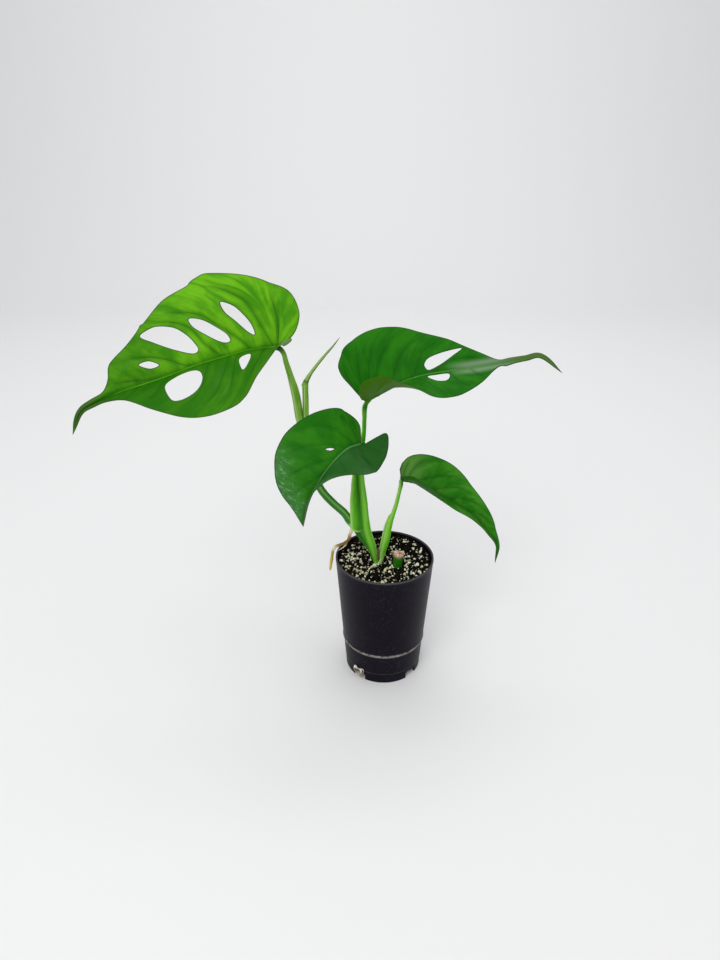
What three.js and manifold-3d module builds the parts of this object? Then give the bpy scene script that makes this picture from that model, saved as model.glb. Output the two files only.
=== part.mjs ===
// A young potted monstera (a deliciosa hybrid) in a round black nursery pot.
// Millimetres, +Z up. The origin is the middle of the pot's base, on the surface it stands on.
// The front of the plant looks along -Y, +X is to its right.

import * as THREE from "three";
import { mergeVertices } from "three/addons/utils/BufferGeometryUtils.js";
import Module from "manifold-3d";

const wasm = await Module();
wasm.setup();

// Driving dimensions

const GAP = 0.3; // clearance between pieces that touch on the real plant

const POT = {
  height: 120,
  rimRadius: 45, // outside, at the top
  baseRadius: 36.2, // outside, at the feet
  wall: 1.5,
  rimHeight: 2.6, // plain band round the top
  edgeRound: 0.4,
  ridgeHeight: 32.8, // moulded step where the skirt begins
  ridgeProud: 0.6,
  skirtInset: 0.4, // the wall below the ridge lies this much further in
  footHeight: 9, // height of the feet and of the floor's underside
  floorThickness: 1.5,
  centreFootRadius: 6,
  draft: 0.8, // taper of the feet's inner faces
  segments: 40,
};

// Notches between the feet, in degrees from the front, with a drain hole in the floor behind each
const FOOT_NOTCH = { angles: [-130, -40, 46, 136], width: 13, height: 7, reach: 7 };
const DRAIN_HOLE = { radius: 4.5, fromMiddle: 27, sides: 12 };

const SOIL = { top: 111, unevenness: 1.1, segments: 32 };
const PERLITE = { grains: 60, smallest: 1.1, largest: 2.4, fromWall: 3.5, jitter: 1, shownAbove: 0.25 };

const STEM = { radius: 3, nodeSwelling: 1.25, rootedTo: 98 };
const STUMP = { x: 12, y: -6, from: 100, to: 125, radius: 4.2, flare: 1.05, cutSlope: 0.35, sides: 14 };

const BLADE_THICKNESS = 1.0;
const HOLE_PLUG_DEPTH = 4; // each way from the blade, for cutting its holes
const TUBE_SIDES = 8;
const STATION_STEP = 5; // spacing of the rings along stems

const COLOUR = {
  youngBlade: 0x5fa321,
  blade: 0x2c7a22,
  petiole: 0x6fae3a,
  stem: 0x4f9440,
  cutTop: 0x4c8a2c,
  root: 0xb08a4a,
  fibre: 0x8a6a4a,
  soil: 0x1c1712,
  pot: 0x1c1c2a,
};

// Leaf blades. Each midrib is a row of stations: x, y, z, then how steeply the left and the
// right half rise from the midrib (degrees) and how much each curls on (degrees per 50 mm).
// Station 0 lies behind the petiole, station 1 is the petiole's joint, the last is the tip.
// Facing is the way the upper face looks, once for the whole leaf or once for each station.
// Outlines and holes are flat: distance along the midrib, distance out from it.

const LEAVES = {
  a: {
    colour: COLOUR.youngBlade,
    veins: 9,
    pleat: 1.3,
    facing: [[0.1, -0.73, 0.68]],
    stations: [
      [-67.5, 29, 308.5, 84, 30, 20, -8],
      [-91, 25, 308, 60, 30, 10, -8],
      [-113, 20, 307, 42, 30, 0, -8],
      [-132, 15, 303, 32, 30, -6, -8],
      [-154, 8, 298, 30, 30, -8, -8],
      [-184, 0, 288.5, 30, 30, -8, -8],
      [-215, -8, 280, 30, 30, -8, -8],
      [-235, -14, 272, 40, 40, 0, 0],
      [-246, -17, 265, 40, 40, 0, 0],
      [-254.5, -20, 248, 40, 40, 0, 0],
    ],
    left: [
      [-9, 3.5], [-13, 11], [-12.5, 25], [-1, 41], [20, 53], [46, 62], [70, 62], [91, 52],
      [111, 32], [129, 13], [145, 5], [164, 3.5], [180, 1.8], [187, 0],
    ],
    right: [
      [-9, 3.5], [-17, 14], [-20, 28], [-13, 44], [4, 53], [20, 60], [37, 66.5], [56, 61],
      [72, 56], [88, 47.5], [101, 41], [114, 33], [127.5, 25], [136.5, 12], [144, 4.5], [164, 3],
      [180, 1.8], [187, 0],
    ],
    holesLeft: [
      [[96, 13], [86, 6.5], [73.5, 6], [67, 10], [66, 18], [70, 27.5], [77, 33.5], [87, 35.5], [94, 31]],
      [[34, 14.5], [30, 9.5], [23.5, 11], [24.5, 22], [29, 30.5], [33.5, 30]],
    ],
    holesRight: [
      [[33.5, 42], [27, 37], [22, 28], [18, 19], [17, 11.5], [22, 15], [28, 25], [33, 34]],
      [[61, 36], [53, 33], [45, 26], [37, 17.5], [35.5, 11], [40, 10.5], [46, 14], [53, 20.5], [60, 29]],
      [
        [101, 36], [90, 39], [82, 38], [72.5, 33], [66.5, 25], [63, 17], [62, 11], [67, 9.5],
        [78, 16.5], [92, 28],
      ],
      [[110.5, 15.5], [102, 16], [95, 10.5], [103, 10]],
    ],
  },
  b: {
    colour: COLOUR.blade,
    veins: 8,
    pleat: 0.9,
    facing: [[0, -0.5, 0.86]],
    stations: [
      [-31.5, -6, 265, 30, 80, 0, 15],
      [-18, 0, 269.5, 30, 72, 0, 18],
      [-4.5, 8, 274.5, 25, 56, 0, 24],
      [13, 14, 281.5, 20, 26, 0, 38],
      [35, 18, 287, 15, 12, 0, 15],
      [71, 22, 291, 15, 6, 0, -10],
      [95, 22, 295, 20, 10, 0, 0],
      [114, 20, 299, 20, 20, 0, 0],
      [126.5, 18, 301.5, 20, 20, 0, 0],
      [145, 16, 288.5, 20, 20, 0, 0],
    ],
    left: [
      [-3, 7], [-6, 17], [-9, 27], [-7.5, 36.5], [2.5, 44], [15, 49.5], [31, 52.5], [46.5, 49],
      [62, 39.5], [72, 34.5], [82, 29.5], [93, 21], [106, 12], [119, 3], [138, 2], [158, 1.8],
      [175, 0],
    ],
    right: [
      [-4, 6], [-6.5, 14.5], [-7, 24], [-4, 33], [4.5, 36], [16.5, 37], [28, 40.5], [43, 41.5],
      [58, 38], [70, 34], [80.5, 29.5], [100, 18], [119, 3], [138, 2], [158, 1.8], [175, 0],
    ],
    holesLeft: [
      [[58, 10.5], [63, 15], [76, 18], [89, 18], [81.5, 13.5], [70.5, 7], [60.5, 3.5], [57.5, 6.5]],
    ],
    holesRight: [[[57, 3.5], [65, 3], [75, 3.5], [74.5, 9], [70, 12.5], [62.5, 11]]],
  },
  c: {
    colour: COLOUR.blade,
    veins: 7,
    pleat: 0.7,
    facing: [
      [0.05, -0.75, 0.66], [0, -0.76, 0.65], [-0.1, -0.8, 0.58], [-0.2, -0.85, 0.5],
      [-0.3, -0.85, 0.4], [-0.4, -0.85, 0.3], [-0.4, -0.85, 0.2],
    ],
    stations: [
      [-4.5, 3, 240, 10, 15, 0, 0],
      [-22, -10, 236, 10, 15, 0, 0],
      [-32.5, -22, 237, 11, 15, 0, 0],
      [-43.5, -34, 231, 32, 15, 0, 0],
      [-54, -44, 219.5, 65, 15, 0, 0],
      [-63, -50, 203.5, 70, 15, 0, 0],
      [-68.5, -52, 181, 68, 15, 0, 0],
    ],
    left: [
      [-4.5, 1.8], [-10, 1.4], [-18.5, 1.2], [-25, 1.5], [-25.5, 5], [-20.3, 12.3], [-15.4, 16.8],
      [-10, 20.5], [1.5, 25.5], [15, 31.5], [31, 39.5], [40, 40], [50, 35], [60, 27], [70, 17.5],
      [81, 8], [94, 0],
    ],
    right: [
      [-3.7, 7.4], [-6, 14], [-6.9, 21], [-4.8, 27], [1, 31], [10, 34.5], [21, 39.7], [37, 43.5],
      [46, 43], [55, 40.5], [62, 36], [69, 30], [75, 22], [82, 12], [94, 0],
    ],
    holesLeft: [],
    holesRight: [[[25.6, 6.3], [28.6, 7.4], [30.2, 9.3], [31, 11.4], [28.9, 10.6], [27.1, 8.9]]],
  },
  d: {
    colour: COLOUR.blade,
    veins: 7,
    pleat: 0.6,
    facing: [[0.15, -0.35, 0.94]],
    stations: [
      [2.5, -4, 204, 38, 50, 0, 30],
      [13, 0, 198.5, 38, 48, 0, 40],
      [26.5, 3, 193.5, 38, 25, 0, 60],
      [42, 6, 183, 38, 26, 0, 35],
      [63, 6, 170.5, 38, 30, 0, 10],
      [79, 5, 159, 38, 32, 0, 5],
      [92.5, 3, 144.5, 38, 34, 0, 0],
      [102, 1, 129.5, 38, 36, 0, 0],
      [102, -1, 112.5, 38, 38, 0, 0],
    ],
    left: [
      [-3, 8], [-1, 15], [7, 22], [20, 28], [36, 30], [50, 27.5], [64, 21.5], [80, 15.5], [94, 11],
      [106, 6], [118, 2.5], [132.5, 0],
    ],
    right: [
      [-5, 6], [-4, 15], [4, 23], [18, 29], [36, 30], [50, 27.5], [64, 21.5], [80, 15.5], [94, 11],
      [106, 6], [118, 2.5], [132.5, 0],
    ],
    holesLeft: [],
    holesRight: [],
  },
};

const BASAL_SHARE = 0.3; // share of each margin whose veins start at the petiole
const VEIN_BOW = 0.24; // how far a side vein bows back, as a share of its forward reach
const BOW_FADE = 0.15; // share of the margin before the tip over which the bow fades out
const PLEAT_FADE_ROWS = 3;
const BLADE_COLUMNS = 5;

// Stems and petioles: points along the middle line, then [share of the length, radius] pairs.

const TUBES = {
  stem: {
    points: [
      [-5, 1, STEM.rootedTo], [-6, 2, 113.5], [-11.5, 4, 124.5], [-20, 5, 136.5], [-27.5, 2, 150],
      [-32.5, 2, 157.5], [-37, 3, 163.5], [-47.5, 6, 172.5], [-58, 11, 184], [-66.5, 20, 207.5],
      [-72, 30, 236.5],
    ],
    radii: [
      [0, STEM.radius * 1.15], [0.15, STEM.radius], [0.34, STEM.radius],
      [0.39, STEM.radius * STEM.nodeSwelling], [0.45, STEM.radius], [0.93, STEM.radius * 0.95],
      [1, STEM.radius * 1.1],
    ],
  },
  petioleA: {
    points: [
      [-73, 30, 234], [-75, 30, 243], [-75, 30, 255.5], [-76.5, 29, 269.5], [-80.5, 28, 283],
      [-84, 27, 294.5], [-86.5, 26, 302.5], [-89.5, 25.2, 306.6],
    ],
    radii: [[0, 2.9], [0.35, 2.8], [0.7, 2.3], [0.9, 2], [1, 2.2]],
  },
  petioleB: {
    points: [
      [-26, -2.5, 150], [-24.5, -3.5, 164.5], [-23.5, -4, 180], [-22.5, -3, 203], [-21, -1.5, 220],
      [-20, 0, 232.5], [-19.4, 0.5, 243], [-19, 0, 254], [-18, 0, 268.6],
    ],
    radii: [[0, 3.9], [0.25, 3.8], [0.42, 2.6], [0.55, 2.1], [0.9, 1.9], [1, 2.3]],
  },
  petioleC: {
    points: [
      [-9.5, -1.5, 100], [-9.5, -1.5, 111.5], [-11, -2.5, 125.5], [-13.5, -3.5, 139], [-15.5, -5, 151],
      [-17, -7.5, 165.5], [-17.5, -9, 181.5], [-19, -10, 206], [-20.5, -11, 223.5], [-22, -10, 235],
    ],
    radii: [[0, 3], [0.12, 3.4], [0.35, 3], [0.6, 2.3], [0.95, 1.9], [1, 2.1]],
  },
  petioleD: {
    points: [
      [1.2, 0, 100], [1.5, 0, 111.5], [2.5, -1, 125.5], [3.5, -2, 139], [4.5, -2, 152.5],
      [6.5, -1, 164], [9.5, 0, 174], [11.5, 0, 184.5], [13, 0, 193], [13, 0, 197.6],
    ],
    radii: [[0, 2.6], [0.12, 3.2], [0.35, 3.1], [0.55, 2.2], [0.85, 1.7], [1, 2]],
  },
  newSheath: {
    points: [[-71, 30, 237.5], [-70, 29, 245.5], [-69.5, 28, 260.5], [-69, 28, 276]],
    radii: [[0, 2.6], [0.6, 2.7], [1, 2.5]],
  },
  rolledLeaf: {
    points: [[-69, 28, 268], [-68.5, 28, 276], [-65.5, 27.8, 281], [-56, 27, 295], [-39.5, 25, 315.5]],
    radii: [[0, 2.3], [0.3, 2.2], [0.7, 1.3], [1, 0.35]],
  },
  aerialRoot: {
    points: [
      [-29, 0.5, 151], [-31, -3, 146], [-33.5, -4, 138.5], [-40, -3, 133.5], [-44.5, -1, 130.5],
      [-47.2, 0, 125.5], [-48.5, 0, 118], [-50.5, 0, 104],
    ],
    radii: [[0, 1.3], [0.4, 1.1], [0.7, 1], [0.95, 1], [1, 0.5]],
  },
  sideRoot: {
    points: [[-33, -4, 139.5], [-36, -4.4, 133.5], [-40, -4.6, 130], [-43.5, -4, 127.5]],
    radii: [[0, 0.8], [1, 0.4]],
  },
  fibreLeft: {
    points: [[-4, -1.5, 112.5], [-4.4, -2, 122], [-6, -2.5, 131], [-8, -2.8, 138]],
    radii: [[0, 1], [0.6, 0.8], [1, 0.35]],
  },
  fibreRight: {
    points: [[-4, -1.5, 112.5], [-3.4, -2, 120], [-3, -2.6, 128], [-2.4, -3, 134]],
    radii: [[0, 1], [0.6, 0.7], [1, 0.35]],
  },
  drainRoot: {
    points: [[-16.6, -19.8, 17], [-17.4, -20.8, 11], [-19.8, -24.2, 5.4], [-24, -31, 2.6], [-28, -38, 2]],
    radii: [[0, 1.3], [0.6, 1.1], [1, 0.5]],
  },
};

// Seeded random draws, so that every build is the same

function seededRandom(seed) {
  let state = seed;
  return () => {
    state = (state * 1664525 + 1013904223) % 4294967296;
    return state / 4294967296;
  };
}

// Closed meshes to solids and back

function welded(geometry) {
  const bare = geometry.clone();
  bare.deleteAttribute("normal");
  bare.deleteAttribute("uv");
  return mergeVertices(bare, 1e-4);
}

function toSolid(geometry) {
  const closed = welded(geometry);
  return new wasm.Manifold(
    new wasm.Mesh({
      numProp: 3,
      vertProperties: new Float32Array(closed.attributes.position.array),
      triVerts: new Uint32Array(closed.index.array),
    }),
  );
}

// The same, with every face turned round where they point inwards
function outward(geometry) {
  const solid = toSolid(geometry);
  if (solid.volume() > 0) {
    return solid;
  }
  const turned = geometry.clone();
  const index = turned.index.array;
  for (let k = 0; k < index.length; k += 3) {
    [index[k + 1], index[k + 2]] = [index[k + 2], index[k + 1]];
  }
  return toSolid(turned);
}

function toGeometry(solid) {
  const mesh = solid.getMesh();
  const geometry = new THREE.BufferGeometry();
  geometry.setAttribute("position", new THREE.BufferAttribute(new Float32Array(mesh.vertProperties), 3));
  geometry.setIndex(new THREE.BufferAttribute(new Uint32Array(mesh.triVerts), 1));
  geometry.computeVertexNormals();
  return geometry;
}

// The largest body of a solid, so that a cut leaves no loose scrap
function largestBody(solid) {
  return solid.decompose().reduce((best, body) => (body.volume() > best.volume() ? body : best));
}

function cutBy(solid, cutters) {
  return largestBody(cutters.reduce((left, cutter) => left.subtract(cutter), solid));
}

function namedMesh(name, solid, colour, roughness) {
  const material = new THREE.MeshStandardMaterial({ color: colour, roughness, metalness: 0 });
  const mesh = new THREE.Mesh(toGeometry(solid), material);
  mesh.name = name;
  return mesh;
}

// Smooth curves through a row of control values

function alongRow(rows, u) {
  const last = rows.length - 1;
  const i = Math.min(Math.max(Math.floor(u), 0), last - 1);
  const f = u - i;
  const at = (k) => {
    if (k < 0) {
      return rows[0].map((v, c) => 2 * v - rows[1][c]);
    }
    if (k > last) {
      return rows[last].map((v, c) => 2 * v - rows[last - 1][c]);
    }
    return rows[k];
  };
  const [a, b, c, d] = [at(i - 1), at(i), at(i + 1), at(i + 2)];
  return b.map((_, n) => {
    const cubic = 3 * b[n] - a[n] - 3 * c[n] + d[n];
    const square = 2 * a[n] - 5 * b[n] + 4 * c[n] - d[n];
    return 0.5 * (2 * b[n] + (c[n] - a[n]) * f + square * f * f + cubic * f * f * f);
  });
}

function closedLoop(points, perSpan) {
  const count = points.length;
  const loop = [];
  for (let i = 0; i < count; i += 1) {
    const four = [-1, 0, 1, 2].map((k) => points[(i + k + count) % count]);
    for (let s = 0; s < perSpan; s += 1) {
      loop.push(alongRow(four, 1 + s / perSpan));
    }
  }
  return loop;
}

// A round tube along a smooth path whose radius follows [share, radius] pairs

function radiusAt(pairs, share) {
  let k = 1;
  while (k < pairs.length - 1 && pairs[k][0] < share) {
    k += 1;
  }
  const [s0, r0] = pairs[k - 1];
  const [s1, r1] = pairs[k];
  return THREE.MathUtils.lerp(r0, r1, THREE.MathUtils.clamp((share - s0) / (s1 - s0), 0, 1));
}

function tube({ points, radii }, extra = 0) {
  const path = new THREE.CatmullRomCurve3(points.map((p) => new THREE.Vector3(...p)), false, "centripetal");
  const steps = Math.max(4, Math.round(path.getLength() / STATION_STEP));
  const section = new THREE.Shape();
  for (let k = 0; k < TUBE_SIDES; k += 1) {
    const angle = (2 * Math.PI * k) / TUBE_SIDES;
    section[k === 0 ? "moveTo" : "lineTo"](Math.cos(angle), Math.sin(angle));
  }
  section.closePath();
  const geometry = new THREE.ExtrudeGeometry(section, { steps, bevelEnabled: false, extrudePath: path });
  const stations = path.getSpacedPoints(steps);
  const position = geometry.attributes.position;
  const vertex = new THREE.Vector3();
  for (let n = 0; n < position.count; n += 1) {
    vertex.fromBufferAttribute(position, n);
    let nearest = 0;
    for (let k = 1; k <= steps; k += 1) {
      if (vertex.distanceToSquared(stations[k]) < vertex.distanceToSquared(stations[nearest])) {
        nearest = k;
      }
    }
    const radius = radiusAt(radii, nearest / steps) + extra;
    vertex.sub(stations[nearest]).multiplyScalar(radius).add(stations[nearest]);
    position.setXYZ(n, vertex.x, vertex.y, vertex.z);
  }
  return toSolid(geometry);
}

// Leaf blades

class Midrib {
  constructor({ stations, facing }) {
    this.stations = stations;
    const samples = 400;
    const last = stations.length - 1;
    this.u = Array.from({ length: samples + 1 }, (_, k) => (last * k) / samples);
    this.points = this.u.map((u) => new THREE.Vector3(...alongRow(stations, u)));
    this.arc = [0];
    for (let k = 1; k <= samples; k += 1) {
      this.arc.push(this.arc[k - 1] + this.points[k].distanceTo(this.points[k - 1]));
    }
    const heel = this.arc[Math.round(samples / last)];
    this.arc = this.arc.map((value) => value - heel);
    this.length = this.arc[samples];
    this.facing = facing.length > 1 ? facing : stations.map(() => facing[0]);
  }

  // What holds at one distance along the midrib: place, up, left and the four angles
  frameAt(x) {
    const inside = THREE.MathUtils.clamp(x, this.arc[0], this.length);
    let high = this.arc.findIndex((value) => value >= inside);
    high = Math.max(high, 1);
    const f = (inside - this.arc[high - 1]) / (this.arc[high] - this.arc[high - 1]);
    const u = THREE.MathUtils.lerp(this.u[high - 1], this.u[high], f);
    const centre = this.points[high - 1].clone().lerp(this.points[high], f);
    const before = this.points[Math.max(high - 2, 0)];
    const after = this.points[Math.min(high + 1, this.points.length - 1)];
    const forward = after.clone().sub(before).normalize();
    const up = new THREE.Vector3(...alongRow(this.facing, u));
    up.addScaledVector(forward, -up.dot(forward)).normalize();
    const left = up.clone().cross(forward);
    centre.addScaledVector(forward, x - inside);
    return { centre, up, left, angles: alongRow(this.stations, u).slice(3) };
  }

  // A flat place on the blade, carried to its place in space: out from the midrib along an arc
  // that starts at the half's rise and turns by its curl
  place(x, y) {
    const { centre, up, left, angles } = this.frameAt(x);
    const side = y >= 0 ? 0 : 1;
    const rise = THREE.MathUtils.degToRad(angles[side]);
    const curl = THREE.MathUtils.degToRad(angles[side + 2]) / 50 || 1e-6;
    const out = Math.abs(y);
    const across = (Math.sin(rise + curl * out) - Math.sin(rise)) / curl;
    const raised = (Math.cos(rise) - Math.cos(rise + curl * out)) / curl;
    return centre.addScaledVector(left, Math.sign(y) * across).addScaledVector(up, raised);
  }

  // Unit normal of the upper face
  normal(x, y) {
    const step = 0.5;
    const alongX = this.place(x + step, y).sub(this.place(x - step, y));
    const out = y >= 0 ? step : -step;
    const alongY = this.place(x, y + out).sub(this.place(x, y));
    const normal = alongX.cross(alongY).normalize();
    return y >= 0 ? normal : normal.negate();
  }
}

// Vein coordinates: s runs along the margin from the petiole's notch to the tip, t out from the
// midrib to the margin. Veins of the basal share fan out from the petiole.
function veinOrigin(midrib, s) {
  return s < BASAL_SHARE ? 0 : (midrib.length * (s - BASAL_SHARE)) / (1 - BASAL_SHARE);
}

function veinPoint(midrib, outline, s, t) {
  const [endX, endY] = alongRow(outline, s * (outline.length - 1));
  const start = veinOrigin(midrib, s);
  const [dx, dy] = [endX - start, endY];
  const fade = Math.min(s / BASAL_SHARE, 1) * Math.min((1 - s) / BOW_FADE, 1);
  const lean = Math.max(0, dx) / Math.max(Math.hypot(dx, dy), 1e-6);
  const bow = VEIN_BOW * 4 * t * (1 - t) * fade * lean;
  return [start + dx * t - dy * bow, dy * t + dx * bow];
}

// A blade as a sheet with one row of vertices on each side vein and one between two veins, where
// it stands up by the pleat, then given its thickness
function bladeSolid(leaf, thickness) {
  const midrib = new Midrib(leaf);
  const rows = 2 * leaf.veins;
  const vertices = [];
  const addVertex = (point) => vertices.push(point) - 1;
  // One shared vertex on the midrib for each row; the basal rows share the petiole's joint
  const middle = [];
  for (let i = 0; i <= rows; i += 1) {
    const x = veinOrigin(midrib, i / rows);
    middle.push(i > 0 && x === 0 ? middle[0] : addVertex(midrib.place(x, 0)));
  }
  const faces = [];
  const rims = [];
  for (const [side, outline] of [[1, leaf.left], [-1, leaf.right]]) {
    const grid = [];
    for (let i = 0; i < rows; i += 1) {
      const line = [middle[i]];
      const pleat = (i % 2) * leaf.pleat * Math.min(1, (rows - i) / PLEAT_FADE_ROWS);
      for (let j = 1; j <= BLADE_COLUMNS; j += 1) {
        const t = j / BLADE_COLUMNS;
        const [x, y] = veinPoint(midrib, outline, i / rows, t);
        const lift = pleat * Math.sin(Math.PI * t);
        const point = midrib.place(x, side * y).addScaledVector(midrib.normal(x, side * y), lift);
        line.push(addVertex(point));
      }
      grid.push(line);
    }
    grid.push(Array(BLADE_COLUMNS + 1).fill(middle[rows]));
    for (let i = 0; i < rows; i += 1) {
      for (let j = 0; j < BLADE_COLUMNS; j += 1) {
        const [a, b, c, d] = [grid[i][j], grid[i + 1][j], grid[i + 1][j + 1], grid[i][j + 1]];
        for (const face of [[a, b, c], [a, c, d]]) {
          if (new Set(face).size === 3) {
            faces.push(side > 0 ? face : [face[0], face[2], face[1]]);
          }
        }
      }
    }
    const notchEdge = grid[0].slice(0, -1);
    const margin = grid.map((line) => line[BLADE_COLUMNS]);
    rims.push([...notchEdge, ...margin]);
  }
  const rim = [...rims[0].slice(0, -1), ...rims[1].reverse()];
  return largestBody(thickened(vertices, faces, thickness, rim));
}

// A sheet given its thickness: both faces along the vertex normals, split alike, and a rim
function thickened(vertices, faces, thickness, rim) {
  const normals = vertices.map(() => new THREE.Vector3());
  for (const [a, b, c] of faces) {
    const ab = vertices[b].clone().sub(vertices[a]);
    const ac = vertices[c].clone().sub(vertices[a]);
    const normal = ab.cross(ac);
    for (const k of [a, b, c]) {
      normals[k].add(normal);
    }
  }
  const count = vertices.length;
  const positions = [];
  for (const side of [0.5, -0.5]) {
    vertices.forEach((vertex, k) => {
      const offset = normals[k].clone().normalize().multiplyScalar(side * thickness);
      positions.push(...vertex.clone().add(offset).toArray());
    });
  }
  const index = [];
  for (const [a, b, c] of faces) {
    index.push(a, b, c, a + count, c + count, b + count);
  }
  for (let k = 0; k < rim.length - 1; k += 1) {
    const [p, q] = [rim[k], rim[k + 1]];
    index.push(p, q, q + count, p, q + count, p + count);
  }
  const geometry = new THREE.BufferGeometry();
  geometry.setAttribute("position", new THREE.Float32BufferAttribute(positions, 3));
  geometry.setIndex(index);
  return toSolid(geometry);
}

// A plug through the blade whose section is a hole's outline
function holePlug(midrib, outline, side) {
  const loop = closedLoop(outline, 2);
  const positions = [];
  const middle = loop.reduce(([x, y], p) => [x + p[0] / loop.length, y + p[1] / loop.length], [0, 0]);
  for (const offset of [HOLE_PLUG_DEPTH, -HOLE_PLUG_DEPTH]) {
    for (const [x, y] of [...loop, middle]) {
      const point = midrib.place(x, side * y).addScaledVector(midrib.normal(x, side * y), offset);
      positions.push(...point.toArray());
    }
  }
  const count = loop.length;
  const index = [];
  for (let k = 0; k < count; k += 1) {
    const next = (k + 1) % count;
    index.push(count, k, next, 2 * count + 1, next + count + 1, k + count + 1);
    index.push(k, k + count + 1, next + count + 1, k, next + count + 1, next);
  }
  const geometry = new THREE.BufferGeometry();
  geometry.setAttribute("position", new THREE.Float32BufferAttribute(positions, 3));
  geometry.setIndex(index);
  return outward(geometry);
}

function leafBlade(leaf) {
  const midrib = new Midrib(leaf);
  const plugs = [
    ...leaf.holesLeft.map((outline) => holePlug(midrib, outline, 1)),
    ...leaf.holesRight.map((outline) => holePlug(midrib, outline, -1)),
  ];
  return cutBy(bladeSolid(leaf, BLADE_THICKNESS), plugs);
}

// The pot: one lathed wall with a floor above the feet, notched feet and drain holes

function potWallRadius(z) {
  return THREE.MathUtils.lerp(POT.baseRadius, POT.rimRadius, z / POT.height);
}

function potSolid() {
  const { height, wall, footHeight, ridgeHeight, ridgeProud, rimRadius, edgeRound, draft } = POT;
  const floorTop = footHeight + POT.floorThickness;
  const skirtRadius = (z) => potWallRadius(z) - POT.skirtInset;
  const ridgeRadius = potWallRadius(ridgeHeight) + ridgeProud;
  const profile = [
    [0, 0],
    [POT.centreFootRadius, 0],
    [POT.centreFootRadius + draft, footHeight],
    [skirtRadius(footHeight) - wall - draft, footHeight],
    [POT.baseRadius - wall, 0],
    [POT.baseRadius, 0],
    [skirtRadius(footHeight) + POT.skirtInset, footHeight],
    [skirtRadius(ridgeHeight), ridgeHeight - ridgeProud],
    [ridgeRadius, ridgeHeight],
    [ridgeRadius, ridgeHeight + ridgeProud],
    [potWallRadius(ridgeHeight + 3), ridgeHeight + 3],
    [potWallRadius(height - POT.rimHeight), height - POT.rimHeight],
    [rimRadius, height - POT.rimHeight + edgeRound],
    [rimRadius, height - edgeRound],
    [rimRadius - edgeRound, height],
    [rimRadius - wall + edgeRound, height],
    [rimRadius - wall, height - edgeRound],
    [potWallRadius(ridgeHeight) - wall, ridgeHeight],
    [potWallRadius(floorTop) - wall, floorTop],
    [0, floorTop],
  ];
  const cutters = [];
  for (const degrees of FOOT_NOTCH.angles) {
    const angle = THREE.MathUtils.degToRad(degrees - 90);
    const notch = new THREE.BoxGeometry(2 * FOOT_NOTCH.reach, FOOT_NOTCH.width, 2 * FOOT_NOTCH.height);
    notch.translate(POT.baseRadius, 0, 0).rotateZ(angle);
    cutters.push(toSolid(notch));
    const { radius, fromMiddle, sides } = DRAIN_HOLE;
    const drain = new THREE.CylinderGeometry(radius, radius, 4 * POT.floorThickness, sides);
    drain.rotateX(Math.PI / 2).translate(fromMiddle, 0, floorTop).rotateZ(angle);
    cutters.push(toSolid(drain));
  }
  return cutBy(outward(lathed(profile, POT.segments)), cutters);
}

// A profile of [radius, height] pairs turned round the upright axis
function lathed(profile, segments) {
  const outline = profile.map(([r, z]) => new THREE.Vector2(r, z));
  return welded(new THREE.LatheGeometry(outline, segments).rotateX(Math.PI / 2));
}

// The soil: a plug of the pot's inside with a gently uneven top, and perlite grains fused to it

function soilHeight(x, y) {
  const wave = Math.sin(x * 0.13 + 1.1) * Math.cos(y * 0.11) + 0.6 * Math.sin(x * 0.05 - y * 0.17);
  return SOIL.top + SOIL.unevenness * wave;
}

function soilSolid(standing) {
  const bottom = POT.footHeight + POT.floorThickness + GAP;
  const inside = (z) => potWallRadius(z) - POT.wall - 2 * GAP;
  const shoulder = SOIL.top - 2;
  const edge = inside(shoulder);
  const profile = [[0, bottom], [inside(bottom), bottom], [inside(POT.ridgeHeight), POT.ridgeHeight]];
  profile.push([edge, shoulder]);
  for (const share of [0.8, 0.6, 0.4, 0.2, 0]) {
    profile.push([edge * share, SOIL.top]);
  }
  const geometry = lathed(profile, SOIL.segments);
  const position = geometry.attributes.position;
  for (let k = 0; k < position.count; k += 1) {
    if (position.getZ(k) > shoulder) {
      position.setZ(k, soilHeight(position.getX(k), position.getY(k)));
    }
  }
  return cutBy(outward(geometry).add(perliteGrains(edge - PERLITE.fromWall)), standing);
}

// Grains lie in a sunflower spiral with a seeded jitter, so that they cover the top evenly
function perliteGrains(reach) {
  const random = seededRandom(7);
  const turn = Math.PI * (3 - Math.sqrt(5));
  const grains = [];
  for (let k = 0; k < PERLITE.grains; k += 1) {
    const share = Math.sqrt((k + 0.5) / PERLITE.grains);
    const size = THREE.MathUtils.lerp(PERLITE.smallest, PERLITE.largest, random() ** 2);
    const x = share * reach * Math.cos(k * turn) + PERLITE.jitter * (random() - 0.5);
    const y = share * reach * Math.sin(k * turn) + PERLITE.jitter * (random() - 0.5);
    const spin = random() * Math.PI;
    const grain = new THREE.IcosahedronGeometry(size, 0);
    grain.scale(1, 0.8, 0.75).rotateX(spin).rotateZ(2 * spin);
    grain.translate(x, y, soilHeight(x, y) + size * PERLITE.shownAbove);
    grains.push(toSolid(grain));
  }
  return wasm.Manifold.union(grains);
}

// The stub of a petiole that was cut off: a short cylinder with a sloping top

function stumpSolid(extra) {
  const height = STUMP.to - STUMP.from;
  const radius = STUMP.radius + extra;
  const geometry = new THREE.CylinderGeometry(radius * STUMP.flare, radius, height, STUMP.sides);
  geometry.rotateX(Math.PI / 2).translate(STUMP.x, STUMP.y, STUMP.from + height / 2);
  const position = geometry.attributes.position;
  for (let k = 0; k < position.count; k += 1) {
    if (position.getZ(k) > STUMP.from + height / 2) {
      position.setZ(k, STUMP.to + STUMP.cutSlope * (position.getY(k) - STUMP.y) + extra);
    }
  }
  return toSolid(geometry);
}

// The plant, the soil and the pot, put together

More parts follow.
